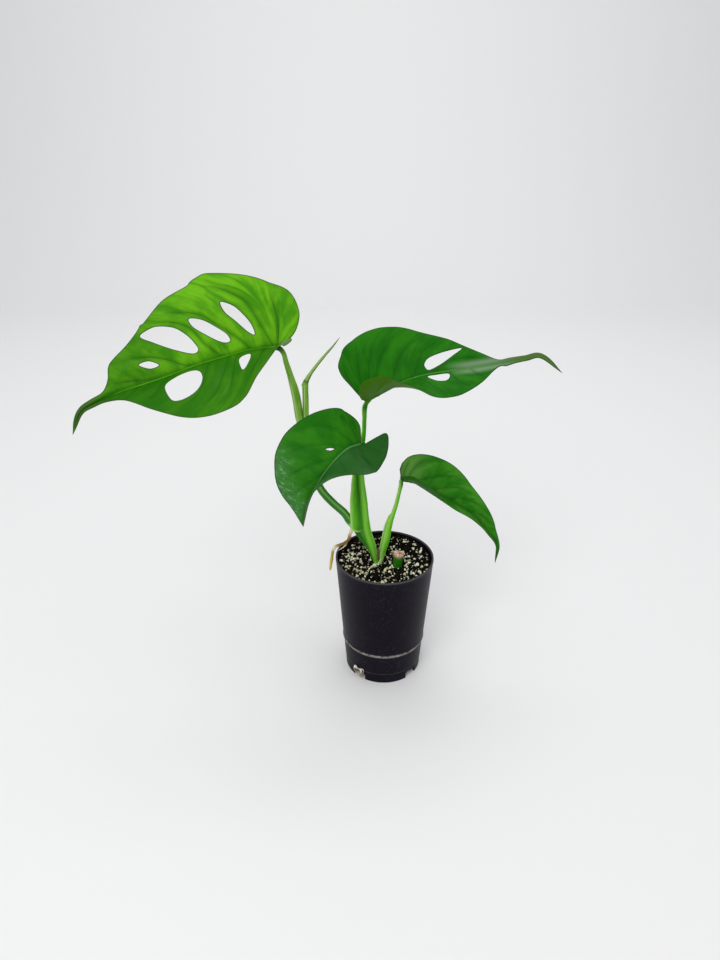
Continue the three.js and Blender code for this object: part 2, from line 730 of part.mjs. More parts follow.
const wide = Object.fromEntries(Object.entries(TUBES).map(([name, spec]) => [name, tube(spec, GAP)]));
const clearOf = (leaf) => [2, 1, 0].map((k) => bladeSolid(leaf, BLADE_THICKNESS + k * GAP));

const stem = tube(TUBES.stem);
const petiole = {
  a: cutBy(tube(TUBES.petioleA), [wide.stem, ...clearOf(LEAVES.a)]),
  b: cutBy(tube(TUBES.petioleB), [wide.stem, ...clearOf(LEAVES.b)]),
  c: cutBy(tube(TUBES.petioleC), [wide.stem, wide.petioleB, ...clearOf(LEAVES.c)]),
  d: cutBy(tube(TUBES.petioleD), [wide.stem, wide.petioleC, ...clearOf(LEAVES.d)]),
};
const newLeaf = cutBy(tube(TUBES.newSheath).add(tube(TUBES.rolledLeaf)), [wide.stem, wide.petioleA]);
const aerialRoot = cutBy(tube(TUBES.aerialRoot).add(tube(TUBES.sideRoot)), [wide.stem, wide.petioleB]);
const fibre = cutBy(tube(TUBES.fibreLeft).add(tube(TUBES.fibreRight)), [
  wide.stem, wide.petioleC, wide.petioleD,
]);
const soil = soilSolid([
  wide.stem, wide.petioleC, wide.petioleD, wide.fibreLeft, wide.drainRoot, stumpSolid(GAP),
]);

const plant = new THREE.Group();
plant.add(namedMesh("pot", potSolid(), COLOUR.pot, 0.42));
plant.add(namedMesh("soil", soil, COLOUR.soil, 0.95));
plant.add(namedMesh("stem", stem, COLOUR.stem, 0.5));
for (const [key, leaf] of Object.entries(LEAVES)) {
  plant.add(namedMesh(`petiole_${key}`, petiole[key], COLOUR.petiole, 0.45));
  plant.add(namedMesh(`blade_${key}`, leafBlade(leaf), leaf.colour, 0.4));
}
plant.add(namedMesh("new_leaf", newLeaf, COLOUR.petiole, 0.45));
plant.add(namedMesh("cut_petiole_stub", stumpSolid(0), COLOUR.cutTop, 0.6));
plant.add(namedMesh("aerial_root", aerialRoot, COLOUR.root, 0.6));
plant.add(namedMesh("sheath_fibre", fibre, COLOUR.fibre, 0.9));
plant.add(namedMesh("drain_root", tube(TUBES.drainRoot), COLOUR.root, 0.7));

export default plant;
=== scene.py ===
"""A potted young monstera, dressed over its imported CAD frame.

Every size is in millimetres until a mesh is made, where MM turns it into metres. The frame has
+Z up, the plant's front along -Y, and its origin in the middle of the pot's base.
"""

import logging
import math
from dataclasses import dataclass, field, replace
from enum import Enum
from functools import reduce

import bmesh
import bpy
import numpy as np
from mathutils import Matrix, Vector
from mathutils.geometry import delaunay_2d_cdt

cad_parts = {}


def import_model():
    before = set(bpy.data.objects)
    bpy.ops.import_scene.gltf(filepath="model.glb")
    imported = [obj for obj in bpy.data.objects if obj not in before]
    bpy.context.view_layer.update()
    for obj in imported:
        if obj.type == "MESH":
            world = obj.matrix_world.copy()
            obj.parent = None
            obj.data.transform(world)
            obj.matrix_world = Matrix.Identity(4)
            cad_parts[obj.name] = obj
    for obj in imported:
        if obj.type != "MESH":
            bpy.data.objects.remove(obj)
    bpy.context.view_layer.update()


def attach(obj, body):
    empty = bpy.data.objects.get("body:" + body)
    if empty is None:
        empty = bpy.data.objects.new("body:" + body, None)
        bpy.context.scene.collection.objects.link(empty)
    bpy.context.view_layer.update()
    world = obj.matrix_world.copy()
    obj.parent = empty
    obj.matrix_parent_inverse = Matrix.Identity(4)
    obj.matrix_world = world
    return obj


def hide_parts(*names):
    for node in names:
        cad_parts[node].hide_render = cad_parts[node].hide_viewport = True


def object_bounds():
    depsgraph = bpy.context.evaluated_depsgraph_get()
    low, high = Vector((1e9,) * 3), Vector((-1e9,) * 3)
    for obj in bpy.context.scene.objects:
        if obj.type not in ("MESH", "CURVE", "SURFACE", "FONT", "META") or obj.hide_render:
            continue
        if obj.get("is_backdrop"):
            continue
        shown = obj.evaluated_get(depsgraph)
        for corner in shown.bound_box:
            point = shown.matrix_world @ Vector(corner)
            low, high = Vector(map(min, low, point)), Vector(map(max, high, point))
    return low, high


Array = np.ndarray
Colour = tuple[float, float, float]
Place = tuple[float, float, float]
Socket = bpy.types.NodeSocket
Object = bpy.types.Object
Material = bpy.types.Material
Value = Socket | Colour | float

MM = 0.001
AXIS_PRIMES, SEED_PRIME = (73856093, 19349663, 83492791), 2654435761
MIXERS, LOW_BITS = ((15, 2246822519), (13, 3266489917)), 0xFFFFFFFF
LOG = logging.getLogger("monstera")


class Slot(Enum):
    """The record's material slots."""

    POT = "pot_plastic"
    SOIL = "soil"
    STEM = "stem_green"
    PETIOLE = "petiole_green"
    YOUNG_BLADE = "young_blade"
    MATURE_BLADE = "mature_blade"
    STUB = "stub"
    ROOT = "root"
    FIBRE = "dry_fibre"


# Whole-array geometry


def unit(vectors: Array) -> Array:
    """Vectors scaled to length one along the last axis."""
    return vectors / np.maximum(np.linalg.norm(vectors, axis=-1, keepdims=True), 1e-12)


def full_turn(count: int) -> Array:
    """Evenly spaced angles once round, in radians."""
    return np.linspace(0, 2 * np.pi, count, endpoint=False)


def arc_length(points: Array) -> Array:
    """Length of the line through points, from the first point up to each of them."""
    return np.concatenate([[0], np.cumsum(np.linalg.norm(np.diff(points, axis=0), axis=1))])


def rows_at(wanted: Array, known: Array, rows: Array) -> Array:
    """Rows that belong to known places, read in straight steps at the wanted ones."""
    return np.stack([np.interp(wanted, known, column) for column in rows.T], -1)


def bump_at(values: Array, centre: float, width: float) -> Array:
    """A bell of height one round a centre: exp(-((value - centre) / width)^2)."""
    return np.exp(-(((values - centre) / width) ** 2))


def ease(share: Array) -> Array:
    """The eased step 3f^2 - 2f^3 of shares from 0 to 1."""
    return share * share * (3 - 2 * share)


def eased(values: Array, start: float, end: float) -> Array:
    """0 before start, 1 after end and an eased step between them."""
    return ease(np.clip((values - start) / (end - start), 0, 1))


def along_row(rows: Array, u: Array) -> Array:
    """Uniform Catmull-Rom curve through rows of values.

    On the span from row i to row i + 1, with f the part of it passed, the value is the cubic in f
    whose ends are the two rows and whose slopes are half the difference of their neighbours.

    Args:
        rows: control values, one row each.
        u: places along them, 0 at the first row and len(rows) - 1 at the last.

    Returns:
        One row of values for each place.
    """
    rows = np.asarray(rows, float)
    last = len(rows) - 1
    padded = np.vstack([2 * rows[0] - rows[1], rows, 2 * rows[-1] - rows[-2]])
    i = np.clip(np.floor(u).astype(int), 0, last - 1)
    f = (u - i)[..., None]
    a, b, c, d = padded[i], padded[i + 1], padded[i + 2], padded[i + 3]
    square = 2 * a - 5 * b + 4 * c - d
    cubic = 3 * b - a - 3 * c + d
    return 0.5 * (2 * b + (c - a) * f + square * f**2 + cubic * f**3)


def smooth_path(points: Array, count: int) -> Array:
    """Centripetal Catmull-Rom path through points, respaced to equal steps of its length.

    Each span is a Hermite cubic. Its slopes weigh the chords before, on and after it by the square
    roots of their lengths, so the curve has no loops where points lie close together.

    Args:
        points: the points that the path goes through.
        count: number of equal steps.

    Returns:
        count + 1 points.
    """
    points = np.asarray(points, float)
    spans = len(points) - 1
    p = np.vstack([2 * points[0] - points[1], points, 2 * points[-1] - points[-2]])
    root = np.sqrt(np.maximum(np.linalg.norm(np.diff(p, axis=0), axis=1), 1e-9))[:, None]
    u = np.linspace(0, spans, 60 * spans + 1)
    i = np.clip(np.floor(u).astype(int), 0, spans - 1)
    f = (u - i)[:, None]
    p0, p1, p2, p3 = p[i], p[i + 1], p[i + 2], p[i + 3]
    d0, d1, d2 = root[i], root[i + 1], root[i + 2]
    slope1 = ((p1 - p0) / d0 - (p2 - p0) / (d0 + d1) + (p2 - p1) / d1) * d1
    slope2 = ((p2 - p1) / d1 - (p3 - p1) / (d1 + d2) + (p3 - p2) / d2) * d1
    square = -3 * p1 + 3 * p2 - 2 * slope1 - slope2
    cubic = 2 * p1 - 2 * p2 + slope1 + slope2
    dense = p1 + slope1 * f + square * f**2 + cubic * f**3
    arc = arc_length(dense)
    return rows_at(np.linspace(0, arc[-1], count + 1), arc, dense)


def closed_loop(points: list, per_span: int) -> Array:
    """A closed uniform Catmull-Rom curve through points, with per_span points on each span."""
    u = 1 + np.arange(len(points) * per_span) / per_span
    return along_row(np.asarray(points + points[:3], float), u)


def inside(points: Array, loop: Array) -> Array:
    """Whether each flat point lies inside a closed loop, by the even-odd rule.

    A ray to the right of the point crosses the loop's segments an odd number of times.

    Args:
        points: flat places.
        loop: the loop's points in order.

    Returns:
        True or False for each place.
    """
    a, b = loop, np.roll(loop, -1, axis=0)
    x, y = points[:, :1], points[:, 1:]
    straddles = (a[:, 1] > y) != (b[:, 1] > y)
    rise = np.where(a[:, 1] == b[:, 1], 1e-12, b[:, 1] - a[:, 1])
    crossing = a[:, 0] + (y - a[:, 1]) * (b[:, 0] - a[:, 0]) / rise
    return np.sum(straddles & (x < crossing), axis=1) % 2 == 1


def within(points: Array, outlines: list[Array]) -> Array:
    """Whether each flat point lies inside the first of several closed loops and in no other."""
    hits = [inside(points, loop) for loop in outlines]
    return hits[0] & ~np.any(hits[1:], axis=0)


def distance_to_lines(points: Array, starts: Array, ends: Array, added: Array | float = 0.0) -> Array:
    """Distance from each flat point to the nearest of many segments.

    Args:
        points: flat places.
        starts: where each segment starts.
        ends: where it ends.
        added: what to add to the distance from each segment.

    Returns:
        The least sum for each point.
    """
    best = np.full(len(points), np.inf)
    along = ends - starts
    square = np.maximum((along**2).sum(1), 1e-12)
    for part in np.array_split(np.arange(len(points)), max(1, len(points) // 2000)):
        offset = points[part, None] - starts[None]
        share = np.clip((offset * along).sum(-1) / square, 0, 1)
        gap = np.linalg.norm(offset - share[..., None] * along, axis=-1)
        best[part] = (gap + added).min(1)
    return best


def drawn(curve: list, step: float) -> Array:
    """Evenly spaced points along the smooth flat curve through the given ones.

    Args:
        curve: the points that the curve goes through.
        step: about how far apart the points are to be.

    Returns:
        The points.
    """
    dense = along_row(np.asarray(curve, float), np.linspace(0, len(curve) - 1, 40 * len(curve)))
    arc = arc_length(dense)
    return rows_at(np.linspace(0, arc[-1], max(2, int(arc[-1] / step)) + 1), arc, dense)


def links(runs: list[Array]) -> tuple[Array, Array]:
    """The starts and the ends of all segments of several open lines."""
    return np.vstack([run[:-1] for run in runs]), np.vstack([run[1:] for run in runs])


def knit(outlines: list[Array], runs: list[Array], inner: Array) -> tuple[Array, Array, Array]:
    """Constrained Delaunay triangles over a flat sheet with holes.

    Args:
        outlines: closed loops, the sheet's own first and its holes after it.
        runs: open lines that edges have to follow.
        inner: further points.

    Returns:
        The points, for each the number of the given point that it comes from, and the triangles,
        all turned to the left. A point that the knitting adds gets the first number past the
        sheet's own loop.
    """
    first = np.cumsum([0, *[len(line) for line in [*outlines, *runs]]])
    edges = []
    for start, ring in zip(first, outlines):
        at = start + np.arange(len(ring))
        edges += np.stack([at, np.roll(at, -1)], -1).tolist()
    for start, run in zip(first[len(outlines):], runs):
        at = start + np.arange(len(run) - 1)
        edges += np.stack([at, at + 1], -1).tolist()
    given = np.vstack([*outlines, *runs, inner])
    made = delaunay_2d_cdt([Vector(p) for p in given], edges, [], 0, 1e-5)
    points = np.array([tuple(v) for v in made[0]])
    origin = np.array([ids[0] if ids else len(outlines[0]) for ids in made[3]])
    triangles = np.array(made[2])
    triangles = triangles[within(points[triangles].mean(1), outlines)]
    a, b, c = (points[triangles[:, k]] for k in range(3))
    turned = np.cross(b - a, c - a) < 0
    triangles[turned] = triangles[turned][:, ::-1]
    return points, origin, triangles


def lattice_noise(points: Array, cell: float, seed: int) -> Array:
    """Smooth value noise from -1 to 1.

    Every corner of a cubic lattice holds a seeded random value. Inside a cell the eight corners
    are blended by the eased fractions 3f^2 - 2f^3 of the point's place along each edge.

    Args:
        points: places, three columns.
        cell: edge of a lattice cell.
        seed: which noise.

    Returns:
        One value for each place.
    """
    scaled = np.asarray(points, float) / cell
    low = np.floor(scaled).astype(np.int64)
    f = ease(scaled - low)
    total = np.zeros(points.shape[:-1])
    for corner in np.ndindex(2, 2, 2):
        at = (low + np.array(corner)) * AXIS_PRIMES
        mixed = (at[..., 0] ^ at[..., 1] ^ at[..., 2] ^ seed * SEED_PRIME) & LOW_BITS
        for shift, factor in MIXERS:
            mixed = (mixed ^ (mixed >> shift)) * factor & LOW_BITS
        value = ((mixed ^ (mixed >> 16)) & 0xFFFF) / 32767.5 - 1
        total += np.prod(np.where(corner, f, 1 - f), axis=-1) * value
    return total


def layered_noise(points: Array, cell: float, layers: int, seed: int) -> Array:
    """Sum of lattice noises, each of half the cell and half the height of the one before."""
    return sum(lattice_noise(points, cell / 2**k, seed + k) / 2**k for k in range(layers))


# Meshes


@dataclass
class Draft:
    """A mesh in the making: its points in millimetres, its faces and its marks on each point."""

    points: Array
    quads: Array = field(default_factory=lambda: np.zeros((0, 4), int))
    triangles: Array = field(default_factory=lambda: np.zeros((0, 3), int))
    marks: dict[str, Array] = field(default_factory=dict)

    def joined(self, other: "Draft") -> "Draft":
        """Joins another draft to this one.

        Args:
            other: the other draft.

        Returns:
            Both in one, with the marks that both have.
        """
        shift = len(self.points)
        shared = self.marks.keys() & other.marks.keys()
        return Draft(
            np.vstack([self.points, other.points]),
            np.vstack([self.quads, other.quads + shift]),
            np.vstack([self.triangles, other.triangles + shift]),
            {name: np.concatenate([self.marks[name], other.marks[name]]) for name in shared},
        )

    def mesh(self, name: str) -> bpy.types.Mesh:
        """Turns the draft into a smooth Blender mesh in metres.

        Args:
            name: the mesh's name.

        Returns:
            The mesh, with the draft's marks as point attributes.
        """
        mesh = bpy.data.meshes.new(name)
        mesh.vertices.add(len(self.points))
        mesh.vertices.foreach_set("co", (self.points * MM).ravel().astype(np.float32))
        corners = np.concatenate([self.quads.ravel(), self.triangles.ravel()])
        sizes = np.repeat([4, 3], [len(self.quads), len(self.triangles)])
        mesh.loops.add(len(corners))
        mesh.loops.foreach_set("vertex_index", corners.astype(np.int32))
        mesh.polygons.add(len(sizes))
        starts = np.concatenate([[0], np.cumsum(sizes)[:-1]])
        mesh.polygons.foreach_set("loop_start", starts.astype(np.int32))
        mesh.polygons.foreach_set("use_smooth", np.ones(len(sizes), bool))
        mesh.update(calc_edges=True)
        mesh.validate()
        for mark, values in self.marks.items():
            flat = values.ndim == 1
            kind = "FLOAT" if flat else "FLOAT_VECTOR"
            attribute = mesh.attributes.new(mark, kind, "POINT")
            target = "value" if flat else "vector"
            attribute.data.foreach_set(target, values.ravel().astype(np.float32))
        return mesh


def skin(grid: Array, marks: dict[str, Array]) -> Draft:
    """A closed tube over a grid of rings.

    Ring i follows ring i - 1 along the tube and point j goes round it, turning left as seen
    looking back along the tube, so the quads face out. Each end is a fan to its ring's middle.

    Args:
        grid: rings, points round each, three coordinates.
        marks: values for each point of the grid.

    Returns:
        The tube's draft.
    """
    rings, around = grid.shape[:2]
    count = rings * around
    index = np.arange(count).reshape(rings, around)
    turned = np.roll(index, -1, axis=1)
    quads = np.stack([index[:-1], turned[:-1], turned[1:], index[1:]], -1).reshape(-1, 4)
    start = np.stack([np.full(around, count), turned[0], index[0]], -1)
    end = np.stack([np.full(around, count + 1), index[-1], turned[-1]], -1)
    points = np.vstack([grid.reshape(-1, 3), grid[0].mean(0), grid[-1].mean(0)])
    closed = {}
    for name, values in marks.items():
        flat = values.reshape(count, *values.shape[2:])
        closed[name] = np.concatenate([flat, [values[0].mean(0), values[-1].mean(0)]])
    return Draft(points, quads, np.vstack([start, end]), closed)


def ball() -> tuple[Array, Array]:
    """An icosphere of one millimetre radius, its faces divided once.

    Returns:
        Its points and its triangles.
    """
    made = bmesh.new()
    bmesh.ops.create_icosphere(made, subdivisions=2, radius=1)
    points = np.array([v.co for v in made.verts])
    triangles = np.array([[v.index for v in face.verts] for face in made.faces])
    made.free()
    return points, triangles


def scattered(places: Array, scales: Array, turns: Array, rough: float, seed: int) -> Draft:
    """Many roughened balls in one draft.

    Each ball of one millimetre is scaled along its three axes, its points pushed in or out by
    noise, turned by three angles about X, Y and Z, and moved to its place.

    Args:
        places: where each ball goes.
        scales: its three scales.
        turns: its three angles in radians.
        rough: share of the radius that the noise moves a point.
        seed: which noise.

    Returns:
        The draft of all balls.
    """
    points, triangles = ball()
    count, fineness, apart = len(places), 1.4, 17.3
    sampled = points[None] * fineness + np.arange(count)[:, None, None] * apart
    shape = points[None] * scales[:, None]
    shape = shape * (1 + rough * lattice_noise(sampled, 1, seed))[..., None]
    for axis in range(3):
        c, s = np.cos(turns[:, axis]), np.sin(turns[:, axis])
        one, zero = np.ones(count), np.zeros(count)
        order = np.roll([0, 1, 2], -axis)
        rows = np.stack([one, zero, zero, zero, c, -s, zero, s, c], -1).reshape(-1, 3, 3)
        turned = np.zeros_like(rows)
        turned[:, order[:, None], order] = rows
        shape = np.einsum("nij,npj->npi", turned, shape)
    shift = (np.arange(count) * len(points))[:, None, None]
    return Draft((shape + places[:, None]).reshape(-1, 3), triangles=(triangles[None] + shift).reshape(-1, 3))


def linked(name: str, data: bpy.types.ID) -> Object:
    """Makes an object and links it into the scene.

    Args:
        name: the object's name.
        data: its mesh, lamp or camera.

    Returns:
        The object.
    """
    made = bpy.data.objects.new(name, data)
    bpy.context.scene.collection.objects.link(made)
    return made


def place_piece(
    name: str, mesh: bpy.types.Mesh, material: Material, replaces: tuple[str, ...] = ()
) -> Object:
    """Puts a finished mesh into the scene as a piece of the plant.

    Args:
        name: the piece's name.
        mesh: its mesh, in place.
        material: its finish.
        replaces: the CAD nodes that it stands for.

    Returns:
        The piece.
    """
    mesh.materials.append(material)
    piece = linked(name, mesh)
    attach(piece, "root")
    if replaces:
        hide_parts(*replaces)
    LOG.info("%s: %d faces", name, len(mesh.polygons))
    return piece


# Finishes


class Shader:
    """One material's nodes, added and joined by short calls."""

    def __init__(self, name: str) -> None:
        """Starts a material with a principled shader.

        Args:
            name: the material's name.
        """
        self.material = bpy.data.materials.new(name)
        self.material.use_nodes = True
        self.tree = self.material.node_tree
        self.surface = self.tree.nodes["Principled BSDF"]

    def add(self, kind: str, **settings: object) -> bpy.types.Node:
        """Adds a node.

        Args:
            kind: its type.
            **settings: its own settings.

        Returns:
            The node.
        """
        node = self.tree.nodes.new(kind)
        for name, value in settings.items():
            setattr(node, name, value)
        return node

    def feed(self, socket: Socket, value: Value) -> None:
        """Joins an input to another node, or sets it.

        Args:
            socket: the input.
            value: another node's output, a number, a vector, or a colour of three numbers.
        """
        if isinstance(value, Socket):
            self.tree.links.new(value, socket)
        elif isinstance(value, tuple) and len(value) == 3 and len(socket.default_value) == 4:
            socket.default_value = (*value, 1)
        else:
            socket.default_value = value

    def worked(self, kind: str, inputs: dict, output: int = 0, **settings: object) -> Socket:
        """Adds a node and feeds its inputs.

        Args:
            kind: the node's type.
            inputs: values for its inputs, by name or number.
            output: the output that is wanted.
            **settings: its own settings.

        Returns:
            The output.
        """
        node = self.add(kind, **settings)
        for name, value in inputs.items():
            self.feed(node.inputs[name], value)
        return node.outputs[output]

    def set(self, **inputs: Value) -> None:
        """Sets or joins inputs of the principled shader, named with underscores for spaces."""
        for name, value in inputs.items():
            self.feed(self.surface.inputs[name.replace("_", " ")], value)

    def place(self) -> Socket:
        """Object coordinates, in metres."""
        return self.add("ShaderNodeTexCoord").outputs["Object"]

    def mark(self, name: str, output: str = "Vector") -> Socket:
        """A point attribute of the piece."""
        return self.add("ShaderNodeAttribute", attribute_name=name).outputs[output]

    def parts(self, vector: Socket) -> tuple[Socket, ...]:
        """Takes a vector apart.

        Args:
            vector: the vector.

        Returns:
            Its three numbers.
        """
        node = self.add("ShaderNodeSeparateXYZ")
        self.feed(node.inputs[0], vector)
        return tuple(node.outputs)

    def stretched(self, vector: Socket, scale: Place) -> Socket:
        """A vector scaled along its three axes."""
        return self.worked("ShaderNodeMapping", {"Vector": vector, "Scale": Vector(scale)})

    def noise(self, vector: Socket, scale: float, detail: float, rough: float = 0.5) -> Socket:
        """Cloudy noise from 0 to 1, with about scale clouds to a unit of the vector."""
        inputs = {"Vector": vector, "Scale": scale, "Detail": detail, "Roughness": rough}
        return self.worked("ShaderNodeTexNoise", inputs)

    def math(self, operation: str, *values: Value) -> Socket:
        """A sum on numbers."""
        return self.worked("ShaderNodeMath", dict(enumerate(values)), operation=operation)

    def between(self, value: Value, low: float, high: float, start: float = 0, end: float = 1) -> Socket:
        """A number carried smoothly from the range low to high onto start to end."""
        inputs = dict(enumerate((value, low, high, start, end)))
        return self.worked("ShaderNodeMapRange", inputs, interpolation_type="SMOOTHSTEP")

    def mix(self, factor: Value, first: Value, second: Value) -> Socket:
        """Two colours mixed, the second by the factor."""
        return self.worked("ShaderNodeMix", {0: factor, 6: first, 7: second}, 2, data_type="RGBA")

    def glaze(self, under: Value, over: Value, value: Value, *span: float) -> Socket:
        """A colour laid over another by as much as a number gives when it is carried by between,
        which takes the span."""
        return self.mix(self.between(value, *span), under, over)

    def bump(self, height: Socket, depth: float, strength: float) -> None:
        """Adds relief to the surface, over what is there.

        Args:
            height: the relief, from 0 to 1.
            depth: how far it stands out at 1, in metres.
            strength: how much it counts.
        """
        inputs = {"Height": height, "Distance": depth, "Strength": strength}
        normal = self.surface.inputs["Normal"]
        if normal.is_linked:
            inputs["Normal"] = normal.links[0].from_socket
        self.feed(normal, self.worked("ShaderNodeBump", inputs))


@dataclass(frozen=True)
class BladeFinish:
    """Leaf tissue, streaked along the side veins and paler between them, with painted shade: darker
    along the sunken side veins and beside the midrib as the shade in their grooves, and on the left
    half as the half turned from the light.

    The depths, the vein-groove shade, the shade line at the groove's bottom and the scuffs are
    amounts from 0 to 1. Places are distances in millimetres along the midrib. The sheen is a range
    of them and its amounts at the two ends: a pale band along the midrib, on the far leaf a painted
    sheen that stands in for the reflection there.
    """

    name: str
    green: Colour
    light: Colour
    vein: Colour
    midrib: Colour
    margin: Colour
    underside: Colour
    roughness: float = 0.42
    gloss: float = 0.2
    vein_groove_shade: float = 0.75
    line: float = 0.5
    left_half_shade: float = 0.0
    half_shade_and_tip_tint: Colour = (0.03, 0.115, 0.028)
    tip_at: float = 200
    tip_fade: float = 22
    tip: Colour = (0.07, 0.15, 0.03)
    sheen: tuple[float, float, float, float] = (500, 522, 0.0, 0.0)
    sheen_reach: float = 9.0
    sheen_tint: Colour = (0.15, 0.25, 0.14)
    far_depth: float = 0.0
    far_range: tuple[float, float] = (60, 120)
    scuffs: float = 0.0
    scuff: Colour = (0.3, 0.44, 0.32)
    patch_scale: float = 0.045
    streak_scale: Place = (0.13, 0.04, 1)
    thread_scale: Place = (0.8, 0.06, 1)
    thread_relief: float = 0.0003
    grain_relief: float = 0.00012

    def scuffed(self, shader: Shader, flat: Socket, run: Socket, edge: Socket) -> Socket:
        """Where the upper face is rubbed pale: in specks near the edge, past the blade's middle.

        Args:
            shader: the material in the making.
            flat: place on the flat leaf.
            run: distance along the midrib.
            edge: distance to the edge.

        Returns:
            The amount.
        """
        near_edge = shader.between(edge, 3, 19, self.scuffs, 0.0)
        rubbed = shader.math("MULTIPLY", near_edge, shader.between(run, 42, 56))
        scratches = shader.noise(shader.stretched(flat, (1, 0.4, 1)), 0.42, 6, 0.75)
        return shader.math("MULTIPLY", rubbed, shader.between(scratches, 0.5, 0.68, 0.12, 1.0))

    def material(self) -> Material:
        """Makes the material.

        It reads the marks flat (place on the flat leaf), lanes (place across and along the side
        veins), veins (distances to the side vein, the midrib and the edge) and under (1 on the
        lower face).

        Returns:
            The material.
        """
        shader = Shader(self.name)
        flat, lanes = shader.mark("flat"), shader.mark("lanes")
        run, out, _ = shader.parts(flat)
        side, middle, edge = shader.parts(shader.mark("veins"))
        threads = shader.noise(shader.stretched(lanes, self.thread_scale), 1.0, 3, 0.6)
        patches = shader.math("MULTIPLY", shader.noise(flat, self.patch_scale, 3), 0.45)
        streaks = shader.noise(shader.stretched(lanes, self.streak_scale), 1.0, 3, 0.55)
        mottle = shader.math("ADD", patches, shader.math("MULTIPLY", streaks, 0.55))
        colour = shader.glaze(self.green, self.light, mottle, 0.4, 0.62)
        colour = shader.glaze(colour, self.vein, threads, 0.35, 0.75, 0.0, 0.2)
        # Painted shade: the left half is darkened towards the tint as the half turned from the light. The
        # same tint then deepens the blade towards its tip over the far range.
        colour = shader.glaze(colour, self.half_shade_and_tip_tint, out, -1.5, 1.5, 0.0, self.left_half_shade)
        colour = shader.glaze(colour, self.half_shade_and_tip_tint, run, *self.far_range, 0.0, self.far_depth)
        # A pale band along the midrib over the sheen's range of places: on the far leaf a painted sheen that
        # stands in for its reflection, on the low leaf a paler base.
        near_midrib = shader.between(middle, 1.5, self.sheen_reach, 1.0, 0.0)
        painted_sheen = shader.math("MULTIPLY", shader.between(run, *self.sheen), near_midrib)
        colour = shader.mix(painted_sheen, colour, self.sheen_tint)
        colour = shader.glaze(colour, self.tip, run, self.tip_at, self.tip_at + self.tip_fade, 0.0, 0.85)
        colour = shader.mix(self.scuffed(shader, flat, run, edge), colour, self.scuff)
        # Painted shade: the first three rows darken the slopes into each side vein, beside the midrib and
        # along each side vein's bottom, as the shade in their sunken grooves. The last two paint the midrib's
        # paler line and the darker margin.
        sunk = tuple(0.6 * c for c in self.vein)
        for tint, distance, near, far, amount in (
            (self.vein, side, 0.2, 3.4, self.vein_groove_shade),
            (self.vein, middle, 0.8, 4.5, 0.45),
            (sunk, side, 0.1, 0.75, self.line),
            (self.midrib, middle, 0.35, 1.0, 0.9),
            (self.margin, edge, 0.25, 0.9, 0.85),
        ):
            colour = shader.glaze(colour, tint, distance, near, far, amount, 0.0)
        rib, side_rib = shader.between(middle, 0.6, 2.4, 0.6, 0.0), shader.between(side, 0.3, 1.1, 0.35, 0.0)
        lower = shader.mix(shader.math("MAXIMUM", rib, side_rib), self.underside, self.midrib)
        colour = shader.mix(shader.mark("under", "Fac"), colour, lower)
        cloud = shader.noise(flat, 0.5, 4, 0.6)
        rough = shader.between(cloud, 0.2, 0.8, self.roughness - 0.05, self.roughness + 0.08)
        shader.set(Base_Color=colour, Roughness=rough, Specular_IOR_Level=self.gloss)
        shader.bump(threads, self.thread_relief, 0.5)
        shader.bump(shader.noise(flat, 1.6, 4, 0.6), self.grain_relief, 0.5)
        return shader.material


@dataclass(frozen=True)
class StalkFinish:
    """Smooth green stalk with fine streaks along it, paler wings and darker joints, and lengthwise
    painted highlights and painted shade laid in as pale and dark lines.
    """

    name: str
    green: Colour
    light: Colour
    dark: Colour
    pale: Colour
    roughness: float = 0.38
    gloss: float = 0.1
    streak_scale: Place = (0.05, 1.3, 1)
    streak_relief: float = 0.0002
    grain_scale: float = 2500
    grain_relief: float = 0.00004

    def material(self) -> Material:
        """Makes the material.

        It reads the marks run (distance along and round) and tone (paleness of wings and painted
        highlights, darkness of joints and painted shade).

        Returns:
            The material.
        """
        shader = Shader(self.name)
        pale, dark, _ = shader.parts(shader.mark("tone"))
        streaks = shader.noise(shader.stretched(shader.mark("run"), self.streak_scale), 1.0, 4, 0.6)
        colour = shader.glaze(self.green, self.light, streaks, 0.35, 0.65)
        colour = shader.mix(dark, colour, self.dark)
        colour = shader.mix(pale, colour, self.pale)
        shader.set(Base_Color=colour, Roughness=self.roughness, Specular_IOR_Level=self.gloss)
        shader.bump(streaks, self.streak_relief, 0.5)
        shader.bump(shader.noise(shader.place(), self.grain_scale, 3), self.grain_relief, 0.4)
        return shader.material


